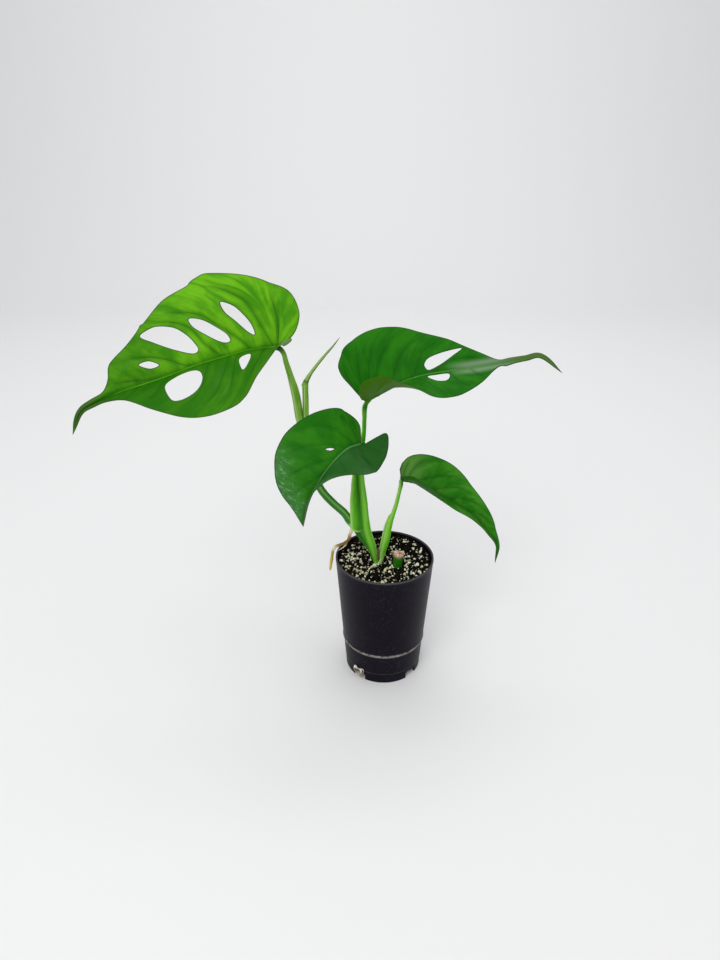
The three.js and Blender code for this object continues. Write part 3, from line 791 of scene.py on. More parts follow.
@dataclass(frozen=True)
class MouldedPlastic:
    """Black nursery-pot plastic: faintly mottled, scuffed pale along its ridge and edges, with a
    painted highlight along the top of its rim, and a blue cast in its black that is partly painted
    reflection.
    """

    name: str = "moulded_pot_plastic"
    # The black and the speckle colour after it lean blue: partly the plastic's own colour, partly a painted
    # reflection of bluish surroundings.
    black: Colour = (0.0034, 0.002, 0.0062)
    bloom_and_reflection: Colour = (0.024, 0.022, 0.044)
    scuff: Colour = (0.3, 0.28, 0.26)
    ridge_height: float = 33.2
    ledge_height: float = 10.5
    lip_height: float = 119.2
    lip_depth: float = 0.8
    rim_highlight: Colour = (0.055, 0.055, 0.06)
    gloss: float = 0.09
    relief: float = 0.00006

    def ring(self, shader: Shader, at: float, near: float, far: float, amount: float) -> Socket:
        """A ring round the pot at a height, full up to near above and below it, gone past far."""
        off = shader.math("ABSOLUTE", shader.math("SUBTRACT", shader.parts(shader.place())[2], at * MM))
        return shader.between(off, near * MM, far * MM, amount, 0.0)

    def material(self) -> Material:
        """Makes the material, with the scuffs and the painted rim highlight placed by height.

        Returns:
            The material.
        """
        shader = Shader(self.name)
        place = shader.place()
        mottle = shader.noise(place, 560, 3, 0.7)
        cloudy = shader.between(shader.noise(place, 45, 3), 0.35, 0.65, 0.25, 1.0)
        speckle = shader.math("MULTIPLY", shader.between(mottle, 0.5, 0.72), cloudy)
        # The bluish speckle over the black is mottle with a painted reflection laid in.
        colour = shader.mix(speckle, self.black, self.bloom_and_reflection)
        ridge = self.ring(shader, self.ridge_height, 0.6, 2.4, 1.0)
        ledge = self.ring(shader, self.ledge_height, 0.1, 0.7, 0.3)
        worn = shader.between(shader.noise(place, 420, 5, 0.75), 0.4, 0.6, 0.2, 1.0)
        scuffed = shader.math("MULTIPLY", shader.math("MAXIMUM", ridge, ledge), worn)
        colour = shader.mix(scuffed, colour, self.scuff)
        # Painted highlight: a narrow band at the top of the rim is painted lighter.
        height = shader.parts(place)[2]
        below, top = (self.lip_height - self.lip_depth) * MM, self.lip_height * MM
        colour = shader.glaze(colour, self.rim_highlight, height, below, top)
        rough = shader.between(mottle, 0.3, 0.7, 0.34, 0.5)
        shader.set(Base_Color=colour, Roughness=rough, Specular_IOR_Level=self.gloss)
        shader.bump(shader.noise(place, 900, 4, 0.6), self.relief, 0.6)
        return shader.material


@dataclass(frozen=True)
class Crumbly:
    """Peat, perlite or another rough, dull matter of two tones."""

    name: str
    dark: Colour
    light: Colour
    scale: float
    roughness: float = 0.9
    relief: float = 0.0003
    gloss: float = 0.08

    def material(self) -> Material:
        """Makes the material.

        Returns:
            The material.
        """
        shader = Shader(self.name)
        place = shader.place()
        colour = shader.glaze(self.dark, self.light, shader.noise(place, self.scale, 5, 0.65), 0.35, 0.65)
        shader.set(Base_Color=colour, Roughness=self.roughness, Specular_IOR_Level=self.gloss)
        shader.bump(shader.noise(place, self.scale * 4, 5, 0.7), self.relief, 0.8)
        return shader.material


@dataclass(frozen=True)
class RootFinish:
    """A root that is brown where it is old and pale or yellow where it is young."""

    name: str
    old: Colour
    young: Colour
    tip: Colour
    roughness: float = 0.6
    relief: float = 0.0003
    cloud_scale: Place = (0.4, 1.5, 1)

    def material(self) -> Material:
        """Makes the material.

        It reads the marks run (distance along and round) and tone (young part, tip).

        Returns:
            The material.
        """
        shader = Shader(self.name)
        young, tip, _ = shader.parts(shader.mark("tone"))
        cloud = shader.noise(shader.stretched(shader.mark("run"), self.cloud_scale), 1.0, 5, 0.7)
        colour = shader.glaze(self.old, tuple(0.45 * c for c in self.old), cloud, 0.3, 0.7)
        colour = shader.mix(young, colour, self.young)
        colour = shader.mix(tip, colour, self.tip)
        shader.set(Base_Color=colour, Roughness=self.roughness)
        shader.bump(cloud, self.relief, 0.6)
        return shader.material


# Leaves


class Midrib:
    """A leaf's middle line and the two halves that rise from it.

    Each station holds x, y, z, the rise of the left and the right half in degrees, and how much
    each half curls on in degrees for each CURL_LENGTH. Station 1 is where the petiole joins.
    """

    SAMPLES = 600
    CURL_LENGTH = 50
    LEAST_CURL = 1e-7

    def __init__(self, stations: list, facing: list) -> None:
        """Lays the line and measures it from the petiole's joint.

        Args:
            stations: the stations, from behind the joint to the tip.
            facing: where the upper face looks, at each station or once for all of them.
        """
        self.stations = np.asarray(stations, float)
        rows = facing if len(facing) > 1 else facing * len(stations)
        self.facing = np.asarray(rows, float)
        self.u = np.linspace(0, len(stations) - 1, self.SAMPLES + 1)
        self.points = along_row(self.stations[:, :3], self.u)
        arc = arc_length(self.points)
        self.arc = arc - np.interp(1.0, self.u, arc)
        self.forward = unit(np.gradient(self.points, axis=0))
        self.length = float(self.arc[-1])

    def place(self, x: Array, y: Array, side: int) -> Array:
        """Carries flat places to their places in space.

        The half leaves the midrib at its rise and turns by its curl, so at the distance y out it
        is across by (sin(rise + curl y) - sin rise) / curl and up by
        (cos rise - cos(rise + curl y)) / curl.

        Args:
            x: distances along the midrib.
            y: distances out from it, not negative.
            side: 1 for left, -1 for right.

        Returns:
            Points in space.
        """
        held = np.clip(x, self.arc[0], self.arc[-1])
        u = np.interp(held, self.arc, self.u)
        centre = rows_at(held, self.arc, self.points)
        forward = unit(rows_at(held, self.arc, self.forward))
        facing = along_row(self.facing, u)
        up = unit(facing - (facing * forward).sum(-1, keepdims=True) * forward)
        left = np.cross(up, forward)
        angles = along_row(self.stations[:, 3:], u)
        column = 0 if side > 0 else 1
        rise = np.radians(angles[..., column])
        curl = np.radians(angles[..., column + 2]) / self.CURL_LENGTH
        curl = np.where(np.abs(curl) < self.LEAST_CURL, self.LEAST_CURL, curl)
        across = (np.sin(rise + curl * y) - np.sin(rise)) / curl
        raised = (np.cos(rise) - np.cos(rise + curl * y)) / curl
        centre = centre + forward * (x - held)[..., None]
        return centre + left * (side * across)[..., None] + up * raised[..., None]

    def normal(self, x: Array, y: Array, side: int, step: float = 0.5) -> Array:
        """Unit normals of the upper face: across a step along it and a step out.

        Args:
            x: distances along the midrib.
            y: distances out from it.
            side: 1 for left, -1 for right.
            step: the steps' length.

        Returns:
            One normal for each place.
        """
        along = self.place(x + step, y, side) - self.place(x - step, y, side)
        out = self.place(x, y + step, side) - self.place(x, y, side)
        return unit(np.cross(along, out) * side)


@dataclass
class Half:
    """One half of a blade, flat: its points, their vein coordinates and its triangles."""

    flat: Array
    vein: Array
    triangles: Array
    on_midrib: Array


@dataclass
class Blade:
    """A leaf blade: its midrib, the outlines of its two halves, and its holes.

    Outlines, holes and side veins are flat, as distance along the midrib and distance out from
    it. The ribs and grooves are heights at the midrib and the side veins, the bulge how far the
    rim stands out as a share of the thickness.
    """

    key: str
    pleat: float
    facing: list
    stations: list
    left: list
    right: list
    holes_left: list
    holes_right: list
    veins_left: list
    veins_right: list
    finish: BladeFinish
    slot: Slot = Slot.MATURE_BLADE
    waves: float = 0.5
    thickness: float = 0.5
    rib: float = 1.5
    side_rib: float = 0.35
    groove: float = 0.3
    side_groove: float = 0.14
    rim_bulge: float = 0.35
    basal_share: float = 0.3
    vein_bow: float = 0.24
    vein_reach: float = 4.5
    fade_start: float = 0.66
    fade_length: float = 0.34
    spacing: float = 1.15
    crowding: float = 1.2
    hole_detail: int = 14
    sharp_degrees: float = 42

    def __post_init__(self) -> None:
        """Lays the midrib and ends both outlines at its tip."""
        self.midrib = Midrib(self.stations, self.facing)
        self.left = [*self.left, [self.midrib.length, 0]]
        self.right = [*self.right, [self.midrib.length, 0]]

    def vein_point(self, outline: list, s: Array, t: Array) -> Array:
        """Flat places of vein coordinates.

        s runs along the margin from the petiole's notch to the tip, t out from the midrib to the
        margin. The vein of s starts at the petiole for the basal share and evenly along the
        midrib after it, goes to the margin at s, and bows back by 4t(1 - t) of its forward reach.

        Args:
            outline: the half's margin.
            s: shares along the margin.
            t: shares of the way out.

        Returns:
            The flat places.
        """
        ends = along_row(np.asarray(outline, float), s * (len(outline) - 1))
        length = self.midrib.length
        start = length * np.clip((s - self.basal_share) / (1 - self.basal_share), 0, 1)
        dx, dy = ends[..., 0] - start, ends[..., 1]
        fade = np.clip(s / self.basal_share, 0, 1) * np.clip((1 - s) / 0.15, 0, 1)
        lean = np.maximum(dx, 0) / np.maximum(np.hypot(dx, dy), 1e-6)
        bow = self.vein_bow * 4 * t * (1 - t) * fade * lean
        return np.stack([start + dx * t - dy * bow, dy * t + dx * bow], -1)

    def lattice(self, outline: list, rows: int, grade: Array) -> tuple[Array, Array]:
        """Points on a grid of the half's vein coordinates.

        The grid is thinned to every second row or column, every fourth and so on, where its
        points are closer than 0.6 of the spacing.

        Args:
            outline: the half's margin.
            rows: number of steps along it.
            grade: the columns' shares of the way out.

        Returns:
            The flat places and their vein coordinates.
        """
        columns, fine = len(grade) - 1, 1e4
        s = np.arange(1, rows)[:, None] / rows + np.zeros((1, columns - 1))
        t = grade[1:-1][None] + np.zeros((rows - 1, 1))
        points = self.vein_point(outline, s, t)
        ahead = np.linalg.norm(self.vein_point(outline, s + 1 / fine, t) - points, axis=-1) * fine / rows
        out = np.linalg.norm(self.vein_point(outline, s, t + 1 / fine) - points, axis=-1) * fine
        out = out * np.diff(grade)[1:][None]
        keep = np.ones(s.shape, bool)
        for gap, count in ((ahead, np.arange(1, rows)[:, None]), (out, np.arange(1, columns)[None])):
            halvings = np.ceil(np.log2(np.maximum(0.6 * self.spacing / np.maximum(gap, 1e-3), 1)))
            keep &= count % (2 ** np.clip(halvings, 0, 7).astype(int)) == 0
        return points[keep], np.stack([s[keep], t[keep]], -1)

    def surround(self, outline: list, rows: int, grade: Array) -> tuple[Array, Array, int]:
        """The loop round one half: out along the notch, round the margin, back along the midrib.

        Args:
            outline: the half's margin.
            rows: number of steps along it.
            grade: shares of the way out, from which the notch picks its own.

        Returns:
            The loop, its vein coordinates, and how many of its points come before the midrib's.
        """
        columns = len(grade) - 1
        step = max(1, columns // max(2, int(np.hypot(*outline[0]) / self.spacing)))
        notch_t = grade[1:][np.arange(columns - 1, -1, -step)[::-1]]
        margin_s = np.arange(1, rows) / rows
        middle_x = np.linspace(self.midrib.length, 0, int(self.midrib.length / self.spacing) + 1)
        middle_s = self.basal_share + (1 - self.basal_share) * middle_x / self.midrib.length
        s = np.concatenate([np.zeros(len(notch_t)), margin_s, middle_s])
        t = np.concatenate([notch_t, np.ones(rows - 1), np.zeros(len(middle_x))])
        before = len(notch_t) + rows - 1
        outer = self.vein_point(outline, s[:before], t[:before])
        middle = np.stack([middle_x, np.zeros(len(middle_x))], -1)
        return np.vstack([outer, middle]), np.stack([s, t], -1), before

    def half(self, outline: list, holes: list, veins: list) -> Half:
        """Triangulates one half between its outline and its holes, with edges along its veins.

        Args:
            outline: the half's margin.
            holes: its holes.
            veins: its side veins.

        Returns:
            The half.
        """
        bend = along_row(np.asarray(outline, float), np.linspace(0, len(outline) - 1, 400))
        rows = int(np.linalg.norm(np.diff(bend, axis=0), axis=1).sum() / self.spacing)
        columns = int(bend[:, 1].max() / self.spacing)
        grade = (np.arange(columns + 1) / columns) ** self.crowding
        loop, loop_vein, before = self.surround(outline, rows, grade)
        outlines = [loop, *[closed_loop(hole, self.hole_detail) for hole in holes]]
        rims = np.vstack(outlines), np.vstack([np.roll(ring, -1, axis=0) for ring in outlines])
        runs = [drawn(vein, self.spacing) for vein in veins]
        runs = [run[inside(run, loop) & (distance_to_lines(run, *rims) > 0.4)] for run in runs]
        lines = [np.vstack(pair) for pair in zip(rims, links(runs))]
        inner, inner_vein = self.lattice(outline, rows, grade)
        clear = within(inner, outlines) & (distance_to_lines(inner, *lines) > 0.45 * self.spacing)
        inner, inner_vein = inner[clear], inner_vein[clear]
        flat, origin, triangles = knit(outlines, runs, inner)
        vein = self.vein_of(outline, flat, inner, inner_vein)
        on_loop = origin < len(loop)
        vein[on_loop] = loop_vein[origin[on_loop]]
        return Half(flat, vein, triangles, on_loop & (origin >= before))

    def vein_of(self, outline: list, places: Array, known: Array, known_vein: Array) -> Array:
        """Vein coordinates of flat places, by Newton steps from the nearest known point's.

        Args:
            outline: the half's margin.
            places: flat places.
            known: other places.
            known_vein: their vein coordinates.

        Returns:
            The vein coordinates of places.
        """
        near = np.linalg.norm(places[:, None] - known[None], axis=-1).argmin(1)
        s, t = known_vein[near].T
        fine = 1e5
        for _ in range(8):
            here = self.vein_point(outline, s, t)
            by_s = (self.vein_point(outline, s + 1 / fine, t) - here) * fine
            by_t = (self.vein_point(outline, s, t + 1 / fine) - here) * fine
            miss = places - here
            area = by_s[:, 0] * by_t[:, 1] - by_s[:, 1] * by_t[:, 0]
            area = np.where(np.abs(area) < 1e-6, 1e-6, area)
            s = np.clip(s + (miss[:, 0] * by_t[:, 1] - miss[:, 1] * by_t[:, 0]) / area, 0, 1)
            t = np.clip(t + (by_s[:, 0] * miss[:, 1] - by_s[:, 1] * miss[:, 0]) / area, 0, 1)
        return np.stack([s, t], -1)

    def vein_gap(self, veins: list, places: Array) -> Array:
        """Distance from flat places to the nearest side vein.

        The vein's reach grows over its last third, squared, so that the vein dies out there.

        Args:
            veins: the side veins.
            places: flat places.

        Returns:
            One distance for each place.
        """
        runs = [drawn(vein, self.spacing) for vein in veins]
        shares = np.concatenate([np.linspace(0, 1, len(run))[:-1] for run in runs])
        past = np.clip((shares - self.fade_start) / self.fade_length, 0, 1)
        return distance_to_lines(places, *links(runs), self.vein_reach * past**2)

    def risen(self, part: Half, veins: list, side: int) -> tuple[Array, ...]:
        """One half of the middle surface, before its pleats are raised.

        The surface swells between the side veins: it stands up by the pleat times
        1 - exp(-gap / reach), fading to nothing at the midrib and the margin, and waves slightly.

        Args:
            part: the flat half.
            veins: its side veins.
            side: 1 for left, -1 for right.

        Returns:
            Points, normals, flat places, lanes, distances to the side veins, and lifts.
        """
        x, y = part.flat.T
        s, t = part.vein.T
        gap = self.vein_gap(veins, part.flat)
        swell = self.pleat * (1 - np.exp(-gap / self.vein_reach)) * np.sin(np.pi * t) ** 0.7
        noise = layered_noise(np.stack([x, side * y, 0 * x], -1), 26, layers=2, seed=11)
        lift = swell * np.clip((1 - s) * 8, 0, 1) + self.waves * noise * np.clip(y / 15, 0, 1)
        lanes = np.stack([s * 1.3 * self.midrib.length, t * 40 * side, 0 * s], -1)
        flat = np.stack([x, side * y], -1)
        place, normal = self.midrib.place(x, y, side), self.midrib.normal(x, y, side)
        return place, normal, flat, lanes, gap, lift

    def draft(self) -> Draft:
        """The blade, its two halves sewn together along the midrib.

        Returns:
            One closed skin.
        """
        left = self.half(self.left, self.holes_left, self.veins_left)
        right = self.half(self.right, self.holes_right, self.veins_right)
        sides = self.risen(left, self.veins_left, 1), self.risen(right, self.veins_right, -1)
        place, normal, flat, lanes, gap, lift = (np.concatenate(pair) for pair in zip(*sides))
        shift = len(left.flat)
        triangles = np.vstack([left.triangles, right.triangles[:, ::-1] + shift])
        left_row, right_row = np.flatnonzero(left.on_midrib), np.flatnonzero(right.on_midrib) + shift
        left_row = left_row[np.argsort(flat[left_row, 0])]
        right_row = right_row[np.argsort(flat[right_row, 0])]
        normal[left_row] = unit(normal[left_row] + normal[right_row])
        alias = np.arange(len(flat))
        alias[right_row] = left_row
        triangles = alias[triangles]
        used, compact = np.unique(triangles, return_inverse=True)
        triangles = compact.reshape(triangles.shape)
        place, normal, flat, lanes, gap, lift = (v[used] for v in (place, normal, flat, lanes, gap, lift))
        return self.thickened(place + normal * lift[:, None], normal, flat, lanes, gap, triangles)

    def thickened(
        self, place: Array, normal: Array, flat: Array, lanes: Array, gap: Array, triangles: Array
    ) -> Draft:
        """Both faces and the rim over the middle surface.

        The upper face lies half the thickness above it, sunk along the midrib and the side veins;
        the lower face as far below it, and further along them, where ribs stand proud. The blade
        thins towards its edge, and the rim bulges out between the faces.

        Args:
            place: points of the middle surface.
            normal: its normals.
            flat: places on the flat leaf.
            lanes: places across and along the side veins.
            gap: distances to the side veins.
            triangles: the middle surface's triangles.

        Returns:
            The closed skin with the marks flat, lanes, veins and under.
        """
        pairs = np.concatenate([triangles[:, [0, 1]], triangles[:, [1, 2]], triangles[:, [2, 0]]])
        both = np.sort(pairs, axis=1)
        _, which, times = np.unique(both, axis=0, return_inverse=True, return_counts=True)
        rim = pairs[times[which.ravel()] == 1]
        edge = distance_to_lines(flat, flat[rim[:, 0]], flat[rim[:, 1]])
        x, y = flat.T
        middle = np.hypot(np.minimum(x, 0), y)
        run = np.clip(x / self.midrib.length, 0, 1)
        half = 0.5 * self.thickness * np.clip(0.6 + edge / 1.5, 0, 1)
        groove = self.groove * bump_at(middle, 0, 0.8) * np.clip(1 - run, 0.2, 1)
        groove = groove + self.side_groove * bump_at(gap, 0, 0.6)
        rib = self.rib * (1 - run) ** 0.8 * np.clip(1 + x / 6, 0, 1)
        round_rib = rib * np.sqrt(np.clip(1 - (middle / np.maximum(1.4 * rib, 0.3)) ** 2, 0, 1))
        side_rib = self.side_rib * bump_at(gap, 0, 0.7) * np.clip(edge / 12, 0, 1)
        upper = place + normal * (half - groove)[:, None]
        lower = place - normal * (half + round_rib + side_rib)[:, None]
        count = len(place)
        rim_points, at = np.unique(rim, return_inverse=True)
        at = at.reshape(rim.shape)
        outward = np.cross(unit(place[rim[:, 1]] - place[rim[:, 0]]), normal[rim[:, 0]])
        push = np.zeros((len(rim_points), 3))
        np.add.at(push, at[:, 0], outward)
        np.add.at(push, at[:, 1], outward)
        brow = place[rim_points] + unit(push) * self.rim_bulge * self.thickness
        a, b = rim.T
        brow_a, brow_b = at.T + 2 * count
        over = np.stack([b, a, brow_a, brow_b], -1)
        below = np.stack([brow_b, brow_a, a + count, b + count], -1)
        faces = np.vstack([triangles, triangles[:, ::-1] + count])
        distances = np.stack([gap, middle, edge], -1)
        spots = np.stack([x, y, np.zeros(count)], -1)
        marks = {
            "flat": np.vstack([spots, spots + [500, 0, 0], spots[rim_points]]),
            "lanes": np.vstack([lanes, lanes, lanes[rim_points]]),
            "veins": np.vstack([distances, distances, distances[rim_points]]),
            "under": np.repeat([0.0, 1.0, 0.5], [count, count, len(rim_points)]),
        }
        return Draft(np.vstack([upper, lower, brow]), np.vstack([over, below]), faces, marks)

    def build(self) -> Object:
        """Makes the blade's piece.

        Returns:
            The piece.
        """
        name = f"leaf_{self.key}_blade"
        mesh = self.draft().mesh(name)
        mesh.set_sharp_from_angle(angle=math.radians(self.sharp_degrees))
        return place_piece(name, mesh, self.finish.material(), (f"blade_{self.key}",))


# Stems, petioles and roots


@dataclass
class Wing:
    """The two thin edges of a petiole's sheath, on both sides of its groove."""

    start: float
    end: float
    height: float
    spread: float = 0.75
    fade: float = 0.12


@dataclass
class Stalk:
    """A smooth stalk along a path, with a groove on one side and perhaps a winged sheath.

    Shares run from 0 at the foot to 1 at the end, and the groove faces the way of groove_to.
    Radii are pairs of share and radius; rings are share, width and height. Pale lines and shade
    lines run lengthwise: angle from the groove, width and strength. The pale ones lighten the skin,
    on the stem as a painted highlight along it; the shade lines are painted shade along the stalk's
    flanks and groove. Pale and dark bands lie across: share and width.
    """

    name: str
    points: list
    radii: list
    finish: StalkFinish | RootFinish | None
    slot: Slot = Slot.PETIOLE
    replaces: tuple[str, ...] = ()
    groove_to: Place = (-1, 0, 0)
    groove: float = 0.12
    groove_width: float = 0.5
    wings: list = field(default_factory=list)
    rings: list = field(default_factory=list)
    pale_and_highlight_stripes: list = field(default_factory=list)
    shade_stripes: list = field(default_factory=list)
    dark: list = field(default_factory=list)
    pale: list = field(default_factory=list)
    rough: float = 0.02
    rough_cell: float = 3.0
    step: float = 0.9
    around: int = 40

    def frame(self) -> tuple[Array, Array, Array, Array]:
        """Lays the path.

        Returns:
            Shares, path points, and the two axes of each section, the first one to the groove.
        """
        length = np.linalg.norm(np.diff(np.asarray(self.points, float), axis=0), axis=1).sum()
        path = smooth_path(self.points, max(8, int(length / self.step)))
        forward = unit(np.gradient(path, axis=0))
        toward = np.asarray(self.groove_to, float)
        first = unit(toward - (forward @ toward)[:, None] * forward)
        return np.linspace(0, 1, len(path)), path, first, np.cross(forward, first)

    def radius(self, share: Array) -> Array:
        """Radius of the plain stalk: its control pairs, joined by half eased steps, and its rings.

        Args:
            share: places along it.

        Returns:
            One radius for each place.
        """
        at, values = np.asarray(self.radii, float).T
        k = np.clip(np.searchsorted(at, share, side="right") - 1, 0, len(at) - 2)
        f = np.clip((share - at[k]) / (at[k + 1] - at[k]), 0, 1)
        radius = values[k] + (values[k + 1] - values[k]) * (0.5 * f + 0.5 * ease(f))
        for centre, width, height in self.rings:
            radius = radius + height * bump_at(share, centre, width)
        return radius

    def winged(self, share: Array, turn: Array, section: Array) -> tuple[Array, Array]:
        """Raises the wings: narrow bells at both sides of the groove, which is deeper there.

        Args:
            share: places along the stalk.
            turn: angles from the groove.
            section: radii for each place and angle.

        Returns:
            The radii with the wings, and how pale the wings make each place.
        """
        paleness = np.zeros(section.shape)
        for wing in self.wings:
            rise = eased(share, wing.start - 0.02, wing.start + 0.05)
            reach = (rise * (1 - eased(share, wing.end - wing.fade, wing.end)))[:, None]
            fins = bump_at(turn, wing.spread, 0.22) + bump_at(turn, -wing.spread, 0.22)
            section = section + wing.height * reach * fins[None]
            section = section - 0.5 * wing.height * reach * bump_at(turn, 0, 0.4)[None]
            paleness = np.maximum(paleness, reach * fins[None] ** 2)
        return section, paleness

    def draft(self) -> Draft:
        """The stalk's skin.

        At the angle a from the groove, a section's radius is the stalk's radius, less the groove's
        bell round a = 0, plus two narrow bells at the sides of the groove where a wing runs, and
        a little noise.

        Returns:
            The draft with the marks run and tone.
        """
        share, path, first, second = self.frame()
        angle = full_turn(self.around)
        turn = (angle + np.pi) % (2 * np.pi) - np.pi
        radius = self.radius(share)[:, None]
        section = radius * (1 - self.groove * bump_at(turn, 0, self.groove_width)[None])
        section, paleness = self.winged(share, turn, section)
        offset = np.cos(angle)[:, None] * first[:, None] + np.sin(angle)[:, None] * second[:, None]
        grid = path[:, None] + offset * section[..., None]
        noise = layered_noise(grid, self.rough_cell, layers=3, seed=5)
        grid = grid + offset * (self.rough * radius * noise)[..., None]
        along = share[:, None] * np.linalg.norm(np.diff(path, axis=0), axis=1).sum()
        run = np.stack(np.broadcast_arrays(along, radius * turn[None], np.zeros((1, 1))), -1)
        tone = np.zeros((*section.shape, 3))
        tone[..., 0] = paleness
        # Column 0 takes the wings, the pale lines and the pale bands, column 1 the shade lines and the dark
        # bands; on the stem the pale line is a painted highlight, and every shade line is painted shade.
        for column, lengthwise, across in ((0, self.pale_and_highlight_stripes, self.pale), (1, self.shade_stripes, self.dark)):
            shades = [strength * bump_at(turn, centre, width)[None] for centre, width, strength in lengthwise]
            shades += [bump_at(share, centre, width)[:, None] for centre, width in across]
            for shade in shades:
                tone[..., column] = np.maximum(tone[..., column], shade)
        return skin(grid, {"run": run, "tone": tone})

    def build(self) -> Object:
        """Makes the stalk's piece."""
        mesh = self.draft().mesh(self.name)
        return place_piece(self.name, mesh, self.finish.material(), self.replaces)


# Pot and soil


def rounded(profile: list, radius: float, steps: int) -> Array:
    """A profile whose inner corners are rounded.

    Each corner becomes a quadratic curve from a place before it to one after it, a radius away or
    at 0.45 of the shorter edge.

    Args:
        profile: the corners.
        radius: how far from each corner its curve starts.
        steps: how many points a curve has.

    Returns:
        The points of the rounded profile.
    """
    corners = np.asarray(profile, float)
    before, here, after = corners[:-2], corners[1:-1], corners[2:]
    to_before, to_after = before - here, after - here
    long_before = np.linalg.norm(to_before, axis=1, keepdims=True)
    long_after = np.linalg.norm(to_after, axis=1, keepdims=True)
    reach = np.minimum(radius, 0.45 * np.minimum(long_before, long_after))
    a = here + to_before / long_before * reach
    b = here + to_after / long_after * reach
    f = np.linspace(0, 1, steps)[None, :, None]
    curve = (1 - f) ** 2 * a[:, None] + 2 * f * (1 - f) * here[:, None] + f**2 * b[:, None]
    return np.vstack([corners[:1], curve.reshape(-1, 2), corners[-1:]])


@dataclass
class Pot:
    """A tall round nursery pot with a ridge low on its wall and notches between its feet."""

    height: float = 120
    rim_radius: float = 45
    base_radius: float = 36.2
    wall: float = 1.5
    rim_height: float = 2.6
    rim_slope: float = 0.4
    ridge_height: float = 32.8
    ridge_proud: float = 0.6
    ridge_slope: float = 3
    skirt_inset: float = 0.4
    ledge_rise: float = 1.6
    ledge_depth: float = 0.4
    foot_height: float = 9
    floor: float = 1.5
    centre_foot: float = 6
    draft_angle: float = 0.8
    corner_radius: float = 0.45
    notch_angles: tuple[float, ...] = (-220, -130, -44, 46)
    notch_width: float = 13
    notch_height: float = 7
    notch_depth: float = 14
    notch_corner: float = 1.2
    drain_radius: float = 4.5
    drain_from_middle: float = 27
    segments: int = 192
    sharp_degrees: float = 35
    finish: MouldedPlastic = MouldedPlastic()

    def wall_radius(self, z: float) -> float:
        """Outer radius of the plain wall at a height."""
        return self.base_radius + (self.rim_radius - self.base_radius) * z / self.height

    def skirt_radius(self, z: float) -> float:
        """Outer radius of the wall below its ridge at a height."""
        return self.wall_radius(z) - self.skirt_inset

    def profile(self) -> list:
        """Half section from the middle of the base, up the outside and down the inside.

        Returns:
            Its corners as radius and height.
        """
        floor_top = self.foot_height + self.floor
        ridge = self.wall_radius(self.ridge_height) + self.ridge_proud
        top, wall, proud, foot = self.height, self.wall, self.ridge_proud, self.foot_height
        ledge, rim = foot + self.ledge_rise, top - self.rim_height
        faded = self.ridge_height + self.ridge_slope
        return [
            [0, 0],
            [self.centre_foot, 0],
            [self.centre_foot + self.draft_angle, foot],
            [self.skirt_radius(foot) - wall - self.draft_angle, foot],
            [self.base_radius - wall, 0],
            [self.base_radius - 0.2, 0],
            [self.skirt_radius(ledge) - 0.35, ledge - self.ledge_depth],
            [self.skirt_radius(ledge) + 0.1, ledge],
            [self.skirt_radius(self.ridge_height), self.ridge_height - proud],
            [ridge, self.ridge_height],
            [ridge, self.ridge_height + proud],
            [self.wall_radius(faded), faded],
            [self.wall_radius(rim), rim],
            [self.rim_radius, rim + self.rim_slope],
            [self.rim_radius, top],
            [self.rim_radius - wall, top],
            [self.wall_radius(self.ridge_height) - wall, self.ridge_height],
            [self.wall_radius(floor_top) - wall, floor_top],
            [0, floor_top],
        ]

    def shell(self) -> Object:
        """The turned wall and floor, before the notches: the profile carried round the Z axis.

        Returns:
            The uncut shell.
        """
        line = rounded(self.profile(), self.corner_radius, 5)
        dense = [line[:1]]
        for start, end in zip(line[:-1], line[1:]):
            pieces = max(1, int(np.linalg.norm(end - start) / 4))
            dense.append(start + (end - start) * (np.arange(1, pieces + 1) / pieces)[:, None])
        across, z = np.vstack(dense)[1:-1].T[..., None]
        angle = full_turn(self.segments)
        grid = np.stack(np.broadcast_arrays(across * np.cos(angle), across * np.sin(angle), z), -1)
        return linked("pot_shell_uncut", skin(grid, {}).mesh("pot_shell"))

    def notch_box(self) -> bpy.types.Mesh:
        """One notch's box across the wall at the base, its edges along X rounded.

        Returns:
            The box.
        """
        made = bmesh.new()
        size = Matrix.Diagonal((self.notch_depth * MM, self.notch_width * MM, 2 * self.notch_height * MM, 1))
        bmesh.ops.create_cube(made, size=1, matrix=size)
        along_x = [edge for edge in made.edges if abs(edge.verts[0].co.x - edge.verts[1].co.x) > MM]
        bmesh.ops.bevel(made, geom=along_x, offset=self.notch_corner * MM, segments=4, affect="EDGES")
        mesh = bpy.data.meshes.new("pot_notch_box")
        made.to_mesh(mesh)
        made.free()
        return mesh

    def cutters(self) -> Object:
        """Round-cornered boxes for the notches and rods for the drain holes.

        Returns:
            All of them in one object.
        """
        made = bmesh.new()
        rise = (self.foot_height + self.floor) * MM
        radius = self.drain_radius * MM
        for degrees in self.notch_angles:
            turn = Matrix.Rotation(math.radians(degrees), 4, "Z")
            box = self.notch_box()
            box.transform(turn @ Matrix.Translation((self.base_radius * MM, 0, 0)))
            made.from_mesh(box)
            bpy.data.meshes.remove(box)
            place = turn @ Matrix.Translation((self.drain_from_middle * MM, 0, rise))
            bmesh.ops.create_cone(
                made, segments=40, radius1=radius, radius2=radius, depth=6 * MM, cap_ends=True, matrix=place
            )
        bmesh.ops.recalc_face_normals(made, faces=made.faces)
        mesh = bpy.data.meshes.new("pot_cutters")
        made.to_mesh(mesh)
        made.free()
        return linked("pot_cutters", mesh)

